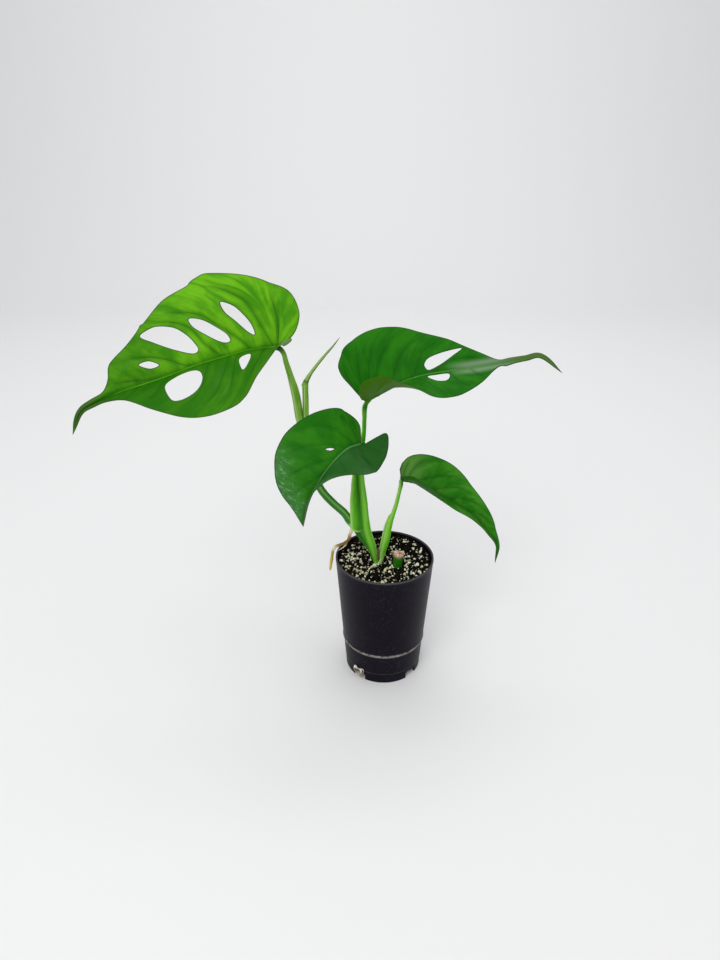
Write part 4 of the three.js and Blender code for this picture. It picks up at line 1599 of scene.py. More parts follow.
    def build(self) -> Object:
        """Cuts the notches and holes out of the shell and makes its piece.

        Returns:
            The piece.
        """
        shell, cutter = self.shell(), self.cutters()
        cut = shell.modifiers.new("notches", "BOOLEAN")
        cut.operation, cut.object, cut.solver = "DIFFERENCE", cutter, "EXACT"
        graph = bpy.context.evaluated_depsgraph_get()
        mesh = bpy.data.meshes.new_from_object(shell.evaluated_get(graph))
        mesh.name = "pot_shell"
        for spare in (shell, cutter):
            bpy.data.objects.remove(spare)
        mesh.materials.clear()
        mesh.set_sharp_from_angle(angle=math.radians(self.sharp_degrees))
        return place_piece("pot_shell", mesh, self.finish.material(), ("pot",))


@dataclass(frozen=True)
class Scatter:
    """Loose grains: how many, their least and greatest radius, the share of those at the back
    that is pulled to the front, how rough they are, and their seed."""

    count: int
    small: float
    large: float
    front: float
    rough: float
    seed: int


@dataclass
class Soil:
    """Peat with perlite: an uneven bed, banked up at the back, and crumbs and grains on it."""

    top: float = 111
    unevenness: float = 1.1
    bank_height: float = 5.6
    bank_spread: float = 0.004
    edge: float = 41.9
    margin: float = 1.2
    bottom: float = 10.8
    rings: int = 90
    around: int = 240
    crumbs: Scatter = Scatter(1500, 0.4, 1.7, front=0.1, rough=0.5, seed=7)
    perlite: Scatter = Scatter(900, 0.3, 1.5, front=0.05, rough=0.35, seed=8)
    large_perlite: Scatter = Scatter(40, 1.2, 2.2, front=1.0, rough=0.3, seed=9)
    peat_finish: Crumbly = Crumbly("damp_peat", (0.0012, 0.001, 0.0008), (0.005, 0.0036, 0.0022), 500)
    crumb_finish: Crumbly = Crumbly("peat_crumbs", (0.0015, 0.0012, 0.0008), (0.013, 0.009, 0.005), 300)
    perlite_finish: Crumbly = Crumbly("perlite", (0.34, 0.33, 0.16), (0.95, 0.95, 0.76), 260, 0.85, 0.0002)

    def bank(self, x: Array, y: Array) -> Array:
        """How far the soil is banked up along the wall: an eased step outwards times an eased
        step from the front to the back."""
        return self.bank_height * eased(np.hypot(x, y), 12, 41) * eased(y, -34, 26)

    def height(self, x: Array, y: Array) -> Array:
        """The bed's height: two crossed waves round the top, as the CAD solid has them, and the
        bank."""
        wave = np.sin(x * 0.13 + 1.1) * np.cos(y * 0.11) + 0.6 * np.sin(x * 0.05 - y * 0.17)
        return self.top + self.unevenness * wave + self.bank(x, y)

    def bed(self) -> Draft:
        """The plug of soil: rings from the middle of its base out, up its side and in over the
        top, where a coarse and a fine noise raise crumbs.

        Returns:
            The bed's draft.
        """
        side = np.array([[8, self.bottom], [34.8, self.bottom], [36.8, 32.8], [41.2, 106]], float)
        across = np.linspace(self.edge, 0.4, self.rings)
        profile = np.vstack([side, np.stack([across, np.full(self.rings, self.top)], -1)])
        angle = full_turn(self.around)
        x = profile[:, :1] * np.cos(angle)
        y = profile[:, :1] * np.sin(angle)
        z = profile[:, 1:] + 0 * x
        flat = np.stack([x, y, 0 * x], -1)
        crumbs = 0.9 * np.abs(layered_noise(flat, 2.6, layers=3, seed=21))
        crumbs = crumbs + 0.7 * layered_noise(flat, 7, layers=2, seed=31)
        on_top = z > self.top - 1
        z = np.where(on_top, self.height(x, y) + crumbs - 0.5, z)
        spread = np.where(on_top, 1 + self.bank_spread * self.bank(x, y), 1)
        return skin(np.stack([x * spread, y * spread, z], -1), {})

    def grains(self, lot: Scatter) -> Draft:
        """Roughened balls lying half sunk on the bed, most of them small.

        Args:
            lot: how many, how large and where.

        Returns:
            Their draft.
        """
        random = np.random.default_rng(lot.seed)
        radius = (self.edge - self.margin) * np.sqrt(random.random(lot.count))
        angle = random.random(lot.count) * 2 * np.pi
        x, y = radius * np.cos(angle), radius * np.sin(angle)
        y = np.where((y > 0) & (random.random(lot.count) < lot.front), -y, y)
        size = lot.small + (lot.large - lot.small) * random.random(lot.count) ** 2.6
        scales = size[:, None] * (0.7 + 0.45 * random.random((lot.count, 3)))
        rise = size * (0.1 + 0.45 * random.random(lot.count))
        places = np.stack([x, y, self.height(x, y) + rise], -1)
        turns = random.random((lot.count, 3)) * 2 * np.pi
        return scattered(places, scales, turns, lot.rough, lot.seed)

    def build(self) -> list[Object]:
        """Makes the bed, the crumbs and the perlite.

        Returns:
            The three pieces.
        """
        white = self.grains(self.perlite).joined(self.grains(self.large_perlite))
        return [
            place_piece(name, draft.mesh(name), finish.material(), replaces)
            for name, draft, finish, replaces in (
                ("soil_bed", self.bed(), self.peat_finish, ("soil",)),
                ("peat_crumbs", self.grains(self.crumbs), self.crumb_finish, ()),
                ("perlite_grains", white, self.perlite_finish, ()),
            )
        ]


# The plant's own sizes and finishes

YOUNG = BladeFinish(
    "young_leaf", green=(0.05, 0.25, 0.002), light=(0.14, 0.44, 0.006), vein=(0.012, 0.115, 0.001),
    midrib=(0.1, 0.36, 0.012), margin=(0.035, 0.07, 0.02), underside=(0.17, 0.33, 0.07),
    roughness=0.5, gloss=0.07, vein_groove_shade=0.42, line=0.4, left_half_shade=0.76,
    half_shade_and_tip_tint=(0.009, 0.104, 0.0005), tip_at=142, tip=(0.06, 0.105, 0.024), far_depth=0.5,
)
MATURE = BladeFinish(
    "mature_leaf", green=(0.01, 0.125, 0.002), light=(0.024, 0.175, 0.004), vein=(0.005, 0.075, 0.002),
    midrib=(0.06, 0.22, 0.025), margin=(0.012, 0.04, 0.01), underside=(0.032, 0.115, 0.003),
    roughness=0.36, gloss=0.14, vein_groove_shade=0.28, line=0.3, left_half_shade=0.45,
)
# The far leaf's sheen is painted: a pale grey-green band along the midrib from 70 millimetres, full by 94,
# standing in for the reflection there.
FAR = replace(
    MATURE, name="far_leaf", green=(0.007, 0.112, 0.001), light=(0.017, 0.158, 0.002), gloss=0.05,
    roughness=0.44, left_half_shade=0.0, sheen=(70, 94, 0.0, 0.85), sheen_tint=(0.2, 0.29, 0.18),
    underside=(0.05, 0.16, 0.001), tip_at=114, tip=(0.105, 0.165, 0.03),
)
# The middle leaf's left half gets a bluish painted shade.
MIDDLE = replace(
    MATURE, name="middle_leaf", scuffs=0.6, gloss=0.06, roughness=0.46, vein_groove_shade=0.18, line=0.16,
    left_half_shade=0.75, half_shade_and_tip_tint=(0.02, 0.088, 0.018), midrib=(0.09, 0.24, 0.07),
)
# The low leaf's sheen band makes it paler near its base, fading out by 24 millimetres along the midrib.
LOW = replace(
    MATURE, name="low_leaf", green=(0.014, 0.15, 0.003), light=(0.05, 0.235, 0.014), gloss=0.06,
    roughness=0.46, left_half_shade=0.0, sheen=(6, 24, 0.6, 0.0), sheen_reach=40, sheen_tint=(0.15, 0.33, 0.07),
    underside=(0.016, 0.12, 0.003), midrib=(0.022, 0.13, 0.008),
)
YOUNG_PETIOLE = StalkFinish(
    "young_petiole_skin", green=(0.11, 0.31, 0.025), light=(0.27, 0.5, 0.075), dark=(0.02, 0.1, 0.01),
    pale=(0.46, 0.64, 0.24), roughness=0.45,
)
ROLL = replace(YOUNG_PETIOLE, name="rolled_leaf_skin", dark=(0.07, 0.12, 0.035))
PETIOLE = StalkFinish(
    "petiole_skin", green=(0.062, 0.37, 0.002), light=(0.128, 0.51, 0.006), dark=(0.014, 0.12, 0.012),
    pale=(0.42, 0.7, 0.18),
)
STEM = StalkFinish(
    "stem_skin", green=(0.022, 0.15, 0.014), light=(0.05, 0.25, 0.03), dark=(0.012, 0.08, 0.012),
    pale=(0.28, 0.6, 0.14),
)
STUB = StalkFinish(
    "cut_stub_skin", green=(0.01, 0.13, 0.002), light=(0.026, 0.21, 0.004), dark=(0.01, 0.08, 0.005),
    pale=(0.55, 0.34, 0.24), roughness=0.5,
)
ROOT = RootFinish(
    "aerial_root_skin", old=(0.27, 0.13, 0.015), young=(0.8, 0.76, 0.52), tip=(0.62, 0.48, 0.06)
)
DRAIN = RootFinish(
    "drain_root_skin", old=(0.42, 0.33, 0.23), young=(0.75, 0.72, 0.66), tip=(0.5, 0.25, 0.12)
)

LEAF_A = Blade(
    key="a", pleat=1.3, facing=[[0.1, -0.73, 0.68]],
    stations=[
        [-67.5, 29, 308.5, 84, 30, 20, -8], [-91, 25, 308, 60, 30, 10, -8], [-113, 20, 307, 42, 30, 0, -8],
        [-132, 15, 303, 32, 30, -6, -8], [-154, 8, 298, 30, 30, -8, -8], [-184, 0, 288.5, 30, 30, -8, -8],
        [-215, -8, 280, 30, 30, -8, -8], [-235, -14, 272, 40, 40, 0, 0], [-246, -17, 265, 40, 40, 0, 0],
        [-254.5, -20, 248, 40, 40, 0, 0],
    ],
    left=[
        [-5, 4.5], [-8, 13], [-11, 25], [-1, 41], [20, 53], [46, 62], [70, 62], [91, 52], [111, 32],
        [129, 13], [145, 6], [155, 5.2], [164, 4.4], [176, 2.8],
    ],
    right=[
        [-9, 3.5], [-17, 14], [-20, 28], [-13, 44], [4, 53], [20, 60], [37, 66.5], [48, 65], [52.5, 63],
        [56, 60.6], [72, 56], [88, 47.5], [94, 44.4], [97, 44], [100.5, 41.4], [114, 33], [127.5, 25.4],
        [132.3, 20.8], [136.5, 12], [144, 5.4], [155, 4.6], [164, 3.8], [176, 2.5],
    ],
    holes_left=[
        [[96, 13], [86, 6.5], [73.5, 6], [67, 10], [66, 18], [70, 27.5], [77, 33.5], [87, 35.5], [94, 31]],
        [[34, 14.5], [30, 9.5], [23.5, 11], [24.5, 22], [29, 30.5], [33.5, 30]],
    ],
    holes_right=[
        [[33.5, 42], [27, 37], [22, 28], [18, 19], [17, 11.5], [22, 15], [28, 25], [33, 34]],
        [[61, 36], [53, 33], [45, 26], [37, 17.5], [35.5, 11], [40, 10.5], [46, 14], [53, 20.5], [60, 29]],
        [
            [101, 36], [90, 39], [82, 38], [72.5, 33], [66.5, 25], [63, 17], [62, 11], [67, 9.5],
            [78, 16.5], [92, 28],
        ],
        [[110.5, 15.5], [102, 16], [95, 10.5], [103, 10]],
    ],
    veins_left=[
        [[10, 1], [14, 18], [22, 36], [32, 48], [42, 54]],
        [[31, 0.5], [37, 12], [42.5, 27], [49, 42], [58, 52]],
        [[40, 0.5], [45.7, 14.1], [53.8, 29.3], [60.6, 40.8], [70.2, 49.3], [78.4, 56.9]],
        [[57, 0.5], [63.9, 16.8], [69.5, 30.3], [79.2, 39.4], [91.1, 43.2], [98.8, 43.6]],
        [[89, 0.5], [98.2, 7.6], [105, 17.2], [112.8, 23.1], [117.8, 24.3]],
        [[113, 0.5], [120, 5.3], [127, 9.7], [132, 10]],
    ],
    veins_right=[
        [[0, 1], [-2.2, 13.6], [-1.6, 26.5], [-0.2, 34.6], [2.1, 43.6], [4.7, 49.3]],
        [
            [3, 0.5], [6.9, 8.7], [10.7, 17.1], [14.2, 25.4], [17.4, 33], [20.9, 40], [24.3, 44.3],
            [29.1, 50.1], [34.9, 54.7], [42, 57.1], [51.8, 58.1],
        ],
        [
            [22, 0.5], [27.3, 8.3], [31.9, 14.4], [37.1, 20.8], [43.4, 27.3], [49.4, 33.9], [55.4, 38.5],
            [64.8, 42.8], [74.4, 45.8], [85.3, 47.1],
        ],
        [
            [46, 0.5], [53, 9.9], [56.7, 15.6], [59.2, 22.2], [62.7, 29.6], [68.8, 35.2], [76.8, 39.7],
            [86.7, 42.2], [95, 42.2],
        ],
        [
            [72, 0.5], [79.4, 5.4], [84.2, 9.8], [90.2, 13.8], [99.7, 18.4], [111.7, 21.1], [123.2, 22.3],
            [128, 22.5],
        ],
        [[98, 0.3], [108, 2], [118, 4.5], [128, 6.5], [136, 7]],
    ],
    finish=YOUNG, slot=Slot.YOUNG_BLADE,
)
LEAF_B = Blade(
    key="b", pleat=0.6, facing=[[0, -0.5, 0.86]],
    stations=[
        [-31.5, -6, 265, 30, 80, 0, 15], [-18, 0, 269.5, 30, 72, 0, 18], [-4.5, 8, 274.5, 25, 56, 0, 24],
        [13, 14, 281.5, 20, 26, 0, 38], [35, 18, 287, 15, 12, 0, 15], [71, 22, 291, 15, 6, 0, -10],
        [95, 22, 295, 20, 10, 0, 0], [114, 20, 299, 20, 20, 0, 0], [126.5, 18, 301.5, 20, 20, 0, 0],
        [145, 16, 288.5, 20, 20, 0, 0],
    ],
    left=[
        [-3, 7], [-6, 17], [-9, 27], [-7.5, 36.5], [2.5, 44], [15, 49.5], [31, 52.5], [46.5, 49],
        [62, 39.5], [72, 34.5], [82, 29.5], [93, 21.6], [106, 12], [118, 3.8], [128, 3.6], [140, 3.3],
        [152, 3], [163, 2.3],
    ],
    right=[
        [-4, 6], [-6.5, 14.5], [-7, 24], [-4, 33], [4.5, 36], [16.5, 37], [28, 40.5], [43, 41.5], [58, 38],
        [70, 34], [80.5, 29.5], [100, 18], [117, 4.4], [124, 4.8], [132, 3.4], [142, 3.2], [153, 3],
        [164, 2.2],
    ],
    holes_left=[
        [[58, 10.5], [63, 15], [76.5, 18.4], [90.8, 19.6], [82, 13.6], [70.5, 7], [60.5, 3.5], [57.5, 6.5]],
    ],
    holes_right=[[[57, 3.5], [65, 3], [75, 3.5], [74.5, 9], [70, 12.5], [62.5, 11]]],
    veins_left=[
        [[-1.5, 3], [-4.3, 22.4], [-3.9, 32.3], [0.1, 41.2]],
        [[1, 2], [4.3, 12.6], [8.8, 24], [13.4, 33.3], [17, 45]],
        [[3, 1.5], [10.1, 11.7], [17.5, 23.3], [25.7, 34.8], [29.7, 44.4]],
        [[8, 1], [17.6, 11.6], [26.4, 22.6], [33.7, 31.2], [40.6, 38.9], [47.2, 46.2]],
        [[25, 0.5], [29.9, 5], [36, 13.6], [43.9, 23.9], [51.4, 31], [60.9, 36.3]],
        [[45, 0.5], [51.6, 8.7], [57.5, 19.5], [65.6, 25.6], [75.9, 28.8]],
        [[61, 0.5], [69.7, 4.7], [79, 9.1], [87.6, 10.2], [97.7, 9.6], [107.1, 6.5], [113.8, 2.5]],
    ],
    veins_right=[
        [[3, 1], [8, 12], [13, 24], [17, 34]],
        [[12, 0.5], [18.8, 14], [24.6, 26], [31.8, 36]],
        [[30, 0.5], [38, 9], [43, 20], [51, 31], [57, 36]],
        [[48, 0.5], [54, 10], [59, 20], [68, 29], [76, 30.5]],
        [[76, 0.5], [79.2, 9.6], [84.1, 17.7], [90.3, 20.6]],
        [[94, 0.5], [98.4, 7.9], [102.6, 12.4]],
    ],
    finish=FAR,
)
LEAF_C = Blade(
    key="c", pleat=0.5,
    facing=[
        [0.05, -0.75, 0.66], [0, -0.76, 0.65], [-0.1, -0.8, 0.58], [-0.2, -0.85, 0.5], [-0.3, -0.85, 0.4],
        [-0.4, -0.85, 0.3], [-0.4, -0.85, 0.2],
    ],
    stations=[
        [-4.5, 3, 240, 10, 15, 0, 0], [-22, -10, 236, 10, 15, 0, 0], [-32.5, -22, 237, 11, 15, 0, 0],
        [-43.5, -34, 231, 32, 15, 0, 0], [-54, -44, 219.5, 65, 15, 0, 0], [-63, -50, 203.5, 70, 15, 0, 0],
        [-68.5, -52, 181, 68, 15, 0, 0],
    ],
    left=[
        [-4.5, 1.8], [-10, 1.4], [-18.5, 1.2], [-25, 1.5], [-25.5, 5], [-20.3, 12.3], [-15.8, 17],
        [-10.5, 21.4], [-4.6, 24.6], [2.4, 27.8], [8, 29.5], [15, 31.2], [30, 37.2], [40, 40], [50, 35],
        [60, 27], [70, 17.5], [81, 8],
    ],
    right=[
        [-4.6, 7.6], [-7, 13], [-7, 18.5], [-4.4, 24.4], [-0.2, 29.3], [4.6, 30.8], [10.8, 34.2],
        [21, 39.6], [37, 43.5], [46, 43], [55, 40.5], [62, 36], [69, 30], [75, 22], [82, 12],
    ],
    holes_left=[],
    holes_right=[[[25.6, 6.3], [28.6, 7.4], [30.2, 9.3], [31, 11.4], [28.9, 10.6], [27.1, 8.9]]],
    veins_left=[
        [[0.9, 0.5], [-3.9, 5.1], [-8.1, 12.2], [-10.2, 18]],
        [[3, 1], [5, 8], [7, 16], [9, 26]],
        [[14, 0.5], [19.5, 11.6], [25, 22.3], [32, 34.2]],
        [[29, 0.5], [34.8, 10.9], [41.6, 27.7], [46, 34]],
        [[45, 0.5], [51, 10], [57, 18], [64, 21]],
    ],
    veins_right=[
        [[-1, 2], [-2, 9.9], [-1.7, 18.4], [4.1, 26.3]],
        [[1.9, 1], [1.8, 12], [4.3, 19.6], [9.5, 25.5], [13.2, 32], [15.9, 36]],
        [[8, 0.5], [13, 9], [15, 16], [17.6, 22.3], [21.8, 28.3], [26.7, 33.2], [32.3, 37.5], [38.8, 41.4]],
        [[17, 0.5], [21.9, 6.2], [28.7, 14.2], [36.3, 22.5], [43.5, 28.9], [49.9, 34], [57, 37.5]],
        [[30, 0.5], [37.9, 5.7], [46.2, 12], [54.2, 17.8], [62.8, 23.2], [68.8, 26.6]],
        [[46, 0.5], [54.5, 3.5], [62.4, 7.8], [70.1, 12.7], [76.1, 15.6]],
    ],
    finish=MIDDLE, waves=0.15,
)
LOW_TAPER = [[36, 30], [50, 27.5], [64, 21.5], [80, 15.5], [94, 11], [106, 6], [118, 2.5]]
LEAF_D = Blade(
    key="d", pleat=0.6, facing=[[0.15, -0.35, 0.94]],
    stations=[
        [2.5, -4, 204, 38, 50, 0, 30], [13, 0, 198.5, 38, 48, 0, 40], [26.5, 3, 193.5, 38, 25, 0, 60],
        [42, 6, 183, 38, 26, 0, 35], [63, 6, 170.5, 38, 30, 0, 10], [79, 5, 159, 38, 32, 0, 5],
        [92.5, 3, 144.5, 38, 34, 0, 0], [102, 1, 129.5, 38, 36, 0, 0], [102, -1, 112.5, 38, 38, 0, 0],
    ],
    left=[[-3, 8], [-1, 15], [7, 22], [20, 28], *LOW_TAPER],
    right=[[-5, 6], [-4, 15], [4, 23], [18, 29], *LOW_TAPER],
    holes_left=[], holes_right=[],
    veins_left=[
        [[-0.5, 0.8], [-2.1, 6.7], [-0.9, 13.2]],
        [[1.9, 0.4], [2.6, 8.5], [6.2, 18]],
        [[5.8, 0.4], [9.1, 8.8], [13.5, 17.6], [19.1, 25.4]],
        [[12, 0.4], [20.8, 5.9], [27.1, 11], [33.6, 15.5], [40.5, 18.7], [49.4, 21.4], [58.5, 22.8]],
        [[32.8, 0.4], [39.4, 5.8], [48.1, 11.6], [57.5, 15], [68.4, 15.8]],
        [[50.9, 0.4], [57.4, 5.6], [66.2, 8.9], [76.8, 10.5], [85, 11]],
        [[72, 0.3], [77.7, 3.6], [86.5, 6], [97.8, 6.5]],
    ],
    veins_right=[
        [[1.5, 0.5], [2, 9], [5, 18], [9, 24]],
        [[9, 0.4], [16, 8], [24, 16], [33, 23], [42, 26]],
        [[30, 0.4], [38, 7], [47, 14], [56, 18], [64, 19]],
        [[50, 0.4], [57, 6], [66, 10], [75, 12], [83, 12]],
        [[70, 0.4], [78, 4], [87, 6.5], [96, 6]],
    ],
    finish=LOW,
)

STALKS = [
    Stalk(
        name="vine_stem",
        points=[
            [-5, 1, 98], [-6, 2, 113.5], [-11.5, 4, 124.5], [-20, 5, 136.5], [-27.5, 2, 150],
            [-32.5, 2, 157.5], [-37, 3, 163.5], [-47.5, 6, 172.5], [-58, 11, 184], [-66.5, 20, 207.5],
            [-72, 30, 236.5],
        ],
        radii=[
            [0, 3.45], [0.13, 3.2], [0.22, 4.0], [0.34, 3.4], [0.39, 4.1], [0.45, 3.6], [0.7, 3.5],
            [0.93, 3], [1, 3.3],
        ],
        finish=STEM, slot=Slot.STEM, replaces=("stem",), groove_to=(0.3, -0.2, 1), groove=0.1,
        rings=[[0.345, 0.008, 0.25], [0.415, 0.008, 0.2], [0.93, 0.01, 0.25]],
        # The stem's pale line is a painted highlight along its length.
        pale_and_highlight_stripes=[[-0.75, 0.3, 0.8]], dark=[[0.36, 0.02], [0.05, 0.08]], pale=[[0.385, 0.012]],
    ),
    Stalk(
        name="leaf_a_petiole",
        points=[
            [-73, 30, 234], [-75.4, 30, 243], [-76.8, 30, 255.5], [-78.8, 29, 269.5], [-82, 28, 283],
            [-84.8, 27, 294.5], [-86.5, 26, 302.5], [-90, 24.9, 306.9], [-98, 23, 307.2],
        ],
        radii=[[0, 3.7], [0.35, 3.7], [0.62, 2.7], [0.82, 2.1], [0.9, 2.4], [1, 0.9]],
        finish=YOUNG_PETIOLE, replaces=("petiole_a",), groove_to=(-1, -0.4, 0.2),
        wings=[Wing(0.0, 0.62, 0.7)], dark=[[0.9, 0.06]],
    ),
    Stalk(
        name="leaf_b_petiole",
        points=[
            [-25.6, -2.5, 149], [-24.7, -3, 157], [-24.8, -3.5, 166], [-25.6, -4, 180], [-25.7, -3.5, 203],
            [-22.8, -2, 220], [-20.4, 0, 232.5], [-19.4, 0.5, 243], [-19, 0, 254], [-18.2, 0, 266.5],
            [-14, 2.5, 270],
        ],
        radii=[
            [0, 4.3], [0.05, 5.9], [0.12, 6.2], [0.25, 5.4], [0.36, 3.9], [0.45, 2.9], [0.58, 2.2],
            [0.85, 1.9], [0.94, 2.3], [1, 1.2],
        ],
        finish=PETIOLE, replaces=("petiole_b",), groove_to=(-1, 0.45, 0), groove=0.22,
        wings=[Wing(0.0, 0.55, 1.0, 0.85)], pale_and_highlight_stripes=[[0.75, 0.4, 1.2]], shade_stripes=[[2.25, 0.5, 0.7]],
        dark=[[0.94, 0.04]], pale=[[0.0, 0.016]],
    ),
    Stalk(
        name="leaf_c_petiole",
        points=[
            [-8.2, -1.5, 100], [-8.5, -1.5, 113.5], [-10.4, -2, 124], [-12.6, -2.5, 133], [-16.7, -4, 149],
            [-18.3, -7, 165.5], [-19.3, -9, 181.5], [-21.4, -10, 206], [-21.8, -11, 223.5],
            [-22, -10.2, 233.6], [-23.8, -12.4, 234.2],
        ],
        radii=[
            [0, 1.2], [0.09, 1.7], [0.17, 3.1], [0.26, 4.0], [0.38, 3.8], [0.56, 3.5], [0.74, 2.6],
            [0.9, 1.9], [0.96, 2.1], [1, 1],
        ],
        finish=PETIOLE, replaces=("petiole_c",), groove_to=(1, 0.5, 0), groove=0.2,
        wings=[Wing(0.04, 0.5, 0.8)], pale_and_highlight_stripes=[[-1.9, 0.5, 0.3]],
        shade_stripes=[[-2.9, 0.35, 0.6], [-0.6, 0.3, 0.5]], dark=[[0.95, 0.03]],
    ),
    Stalk(
        name="leaf_d_petiole",
        points=[
            [-6.2, -0.6, 100], [-4.8, -0.6, 111.5], [-1.7, -1, 125.5], [1.1, -2, 139], [3.2, -2, 152.5],
            [6.6, -1, 164], [9.5, 0, 174], [11.5, 0, 184.5], [13, 0, 193], [13.4, 0.1, 197.2],
            [19, 1.4, 195.4],
        ],
        radii=[
            [0, 2.1], [0.11, 2.5], [0.25, 3.0], [0.38, 3.5], [0.5, 3.0], [0.61, 2.2], [0.7, 1.9],
            [0.82, 1.7], [0.92, 2], [1, 1],
        ],
        finish=PETIOLE, replaces=("petiole_d",), groove_to=(-1, 0.15, 0), groove=0.1,
        wings=[Wing(0.1, 0.62, 1.3, 0.12, 0.025)], pale_and_highlight_stripes=[[0.9, 0.7, 0.7]],
        shade_stripes=[[0.55, 0.12, 0.5]], dark=[[0.93, 0.05]], pale=[[0.14, 0.07]],
    ),
    Stalk(
        name="new_leaf_sheath",
        points=[[-71, 30, 237.5], [-70, 29, 245.5], [-69.5, 28, 260.5], [-69.3, 28, 276.5]],
        radii=[[0, 2.6], [0.6, 2.6], [0.9, 2.5], [1, 1.9]], finish=YOUNG_PETIOLE,
        replaces=("new_leaf",), groove_to=(-1, -0.5, 0), groove=0.25, wings=[Wing(0.0, 1.0, 0.5)],
        rings=[[0.94, 0.04, 0.4]], shade_stripes=[[0.1, 0.22, 0.75]], dark=[[0.99, 0.015]],
    ),
    Stalk(
        name="new_leaf_roll",
        points=[
            [-70.6, 28, 273], [-69.5, 28, 275.2], [-66.6, 27.9, 281], [-63.5, 27.7, 285.8],
            [-56.9, 27.2, 294.5], [-50, 26.5, 302.7], [-45.2, 25.8, 308.2], [-39.4, 25, 315.8],
        ],
        radii=[
            [0, 2.3], [0.06, 2.5], [0.16, 1.9], [0.28, 1.45], [0.5, 1.3], [0.7, 1.0], [0.85, 0.7], [1, 0.2],
        ],
        finish=ROLL, groove_to=(-0.5, -1, 0.4), groove=0.1, wings=[Wing(0.1, 1.0, 0.15, 0.4)],
        shade_stripes=[[1.35, 0.35, 0.9], [-1.35, 0.35, 0.9]], dark=[[0.1, 0.02], [0.9, 0.4]],
    ),
    Stalk(
        name="cut_petiole_stump",
        points=[[11.2, -6, 102], [11.4, -6, 113], [11.9, -6, 121], [12.6, -6, 126]],
        radii=[[0, 3.4], [0.5, 4.2], [0.9, 4.7], [1, 4.1]], finish=STUB, slot=Slot.STUB,
        replaces=("cut_petiole_stub",), groove=0.05, pale=[[1.0, 0.09]], rough=0.05, step=0.6,
    ),
    Stalk(
        name="aerial_root_main",
        points=[
            [-29, 0.5, 151], [-31, -3, 146], [-33.5, -4, 138.5], [-40, -3, 133.5], [-44.5, -1, 130.5],
            [-47.2, 0, 125.5], [-48.5, 0, 118], [-50.5, 0, 104],
        ],
        radii=[[0, 1.6], [0.4, 1.4], [0.55, 1.6], [0.7, 1.3], [0.95, 1.3], [1, 0.6]], finish=ROOT,
        slot=Slot.ROOT, replaces=("aerial_root",), groove=0.05, pale=[[0.08, 0.07], [0.55, 0.07]],
        dark=[[0.95, 0.3]], rough=0.18, step=0.4, around=20,
    ),
    Stalk(
        name="aerial_root_branch",
        points=[[-33, -4, 139.5], [-36, -4.4, 133.5], [-40, -4.6, 130], [-43.5, -4, 127.5]],
        radii=[[0, 0.8], [1, 0.3]], finish=ROOT, slot=Slot.ROOT, groove=0.05, pale=[[0.6, 0.3]],
        rough=0.2, step=0.4, around=16,
    ),
    Stalk(
        name="drain_hole_root",
        points=[
            [-17, -20, 13], [-19, -23, 6.5], [-22.4, -28.6, 2.4], [-22.2, -30.6, 6], [-21.5, -30.8, 10],
            [-23.2, -30.2, 11.8], [-25.6, -28.5, 11.6], [-28, -26.4, 12.8],
        ],
        radii=[[0, 0.9], [0.5, 0.7], [0.62, 0.9], [0.74, 1.1], [0.85, 0.7], [0.95, 1.4], [1, 0.9]],
        finish=DRAIN, slot=Slot.ROOT, replaces=("drain_root",), groove=0.05,
        pale=[[0.76, 0.06], [0.96, 0.06]], rough=0.45, step=0.4, around=20,
    ),
    Stalk(
        name="drain_hole_root_loop",
        points=[
            [-22.5, -29.4, 10.5], [-21.7, -31.2, 13.1], [-19.7, -32.3, 12.6], [-19.5, -32.5, 9.6],
            [-21, -32.4, 6.4], [-23, -31.6, 4],
        ],
        radii=[[0, 0.5], [0.3, 0.42], [0.6, 0.36], [0.85, 0.4], [1, 0.2]], finish=DRAIN,
        slot=Slot.ROOT, pale=[[0.35, 0.1]], rough=0.3, step=0.4, around=12,
    ),
    Stalk(
        name="drain_hole_root_side",
        points=[[-27.6, -26.8, 12.4], [-28.3, -28.4, 11], [-26.6, -30.2, 9], [-24.2, -31.6, 6.3]],
        radii=[[0, 0.6], [0.5, 0.45], [1, 0.2]], finish=DRAIN, slot=Slot.ROOT, dark=[[1, 0.3]],
        rough=0.3, step=0.4, around=12,
    ),
]


@dataclass
class StumpTop:
    """The ragged dried top of the cut petiole stump: many small chips in a ring and over it."""

    centre: Place = (12.9, -6, 125.8)
    radius: float = 4.6
    shoulder: float = 3.5
    chips: int = 46
    rough: float = 0.5
    seed: int = 5
    finish: Crumbly = Crumbly("dried_cut", (0.36, 0.17, 0.1), (0.92, 0.74, 0.62), 420, 0.85)

    def draft(self) -> Draft:
        """Roughened balls, lower towards the edge past the shoulder.

        Returns:
            The chips' draft.
        """
        random = np.random.default_rng(self.seed)
        angle = random.random(self.chips) * 2 * np.pi
        across = self.radius * np.sqrt(random.random(self.chips))
        lift = random.normal(0, 0.5, self.chips) - 0.25 * np.maximum(across - self.shoulder, 0)
        place = np.stack([across * np.cos(angle), across * np.sin(angle), lift], -1) + self.centre
        scales = np.stack([0.5 + 0.9 * random.random(self.chips) for _ in range(3)], -1)
        turns = random.random((self.chips, 3)) * 2 * np.pi
        return scattered(place, scales, turns, self.rough, self.seed)

    def build(self) -> Object:
        """Makes the chips' piece."""
        mesh = self.draft().mesh("stump_top_chips")
        return place_piece("stump_top_chips", mesh, self.finish.material())


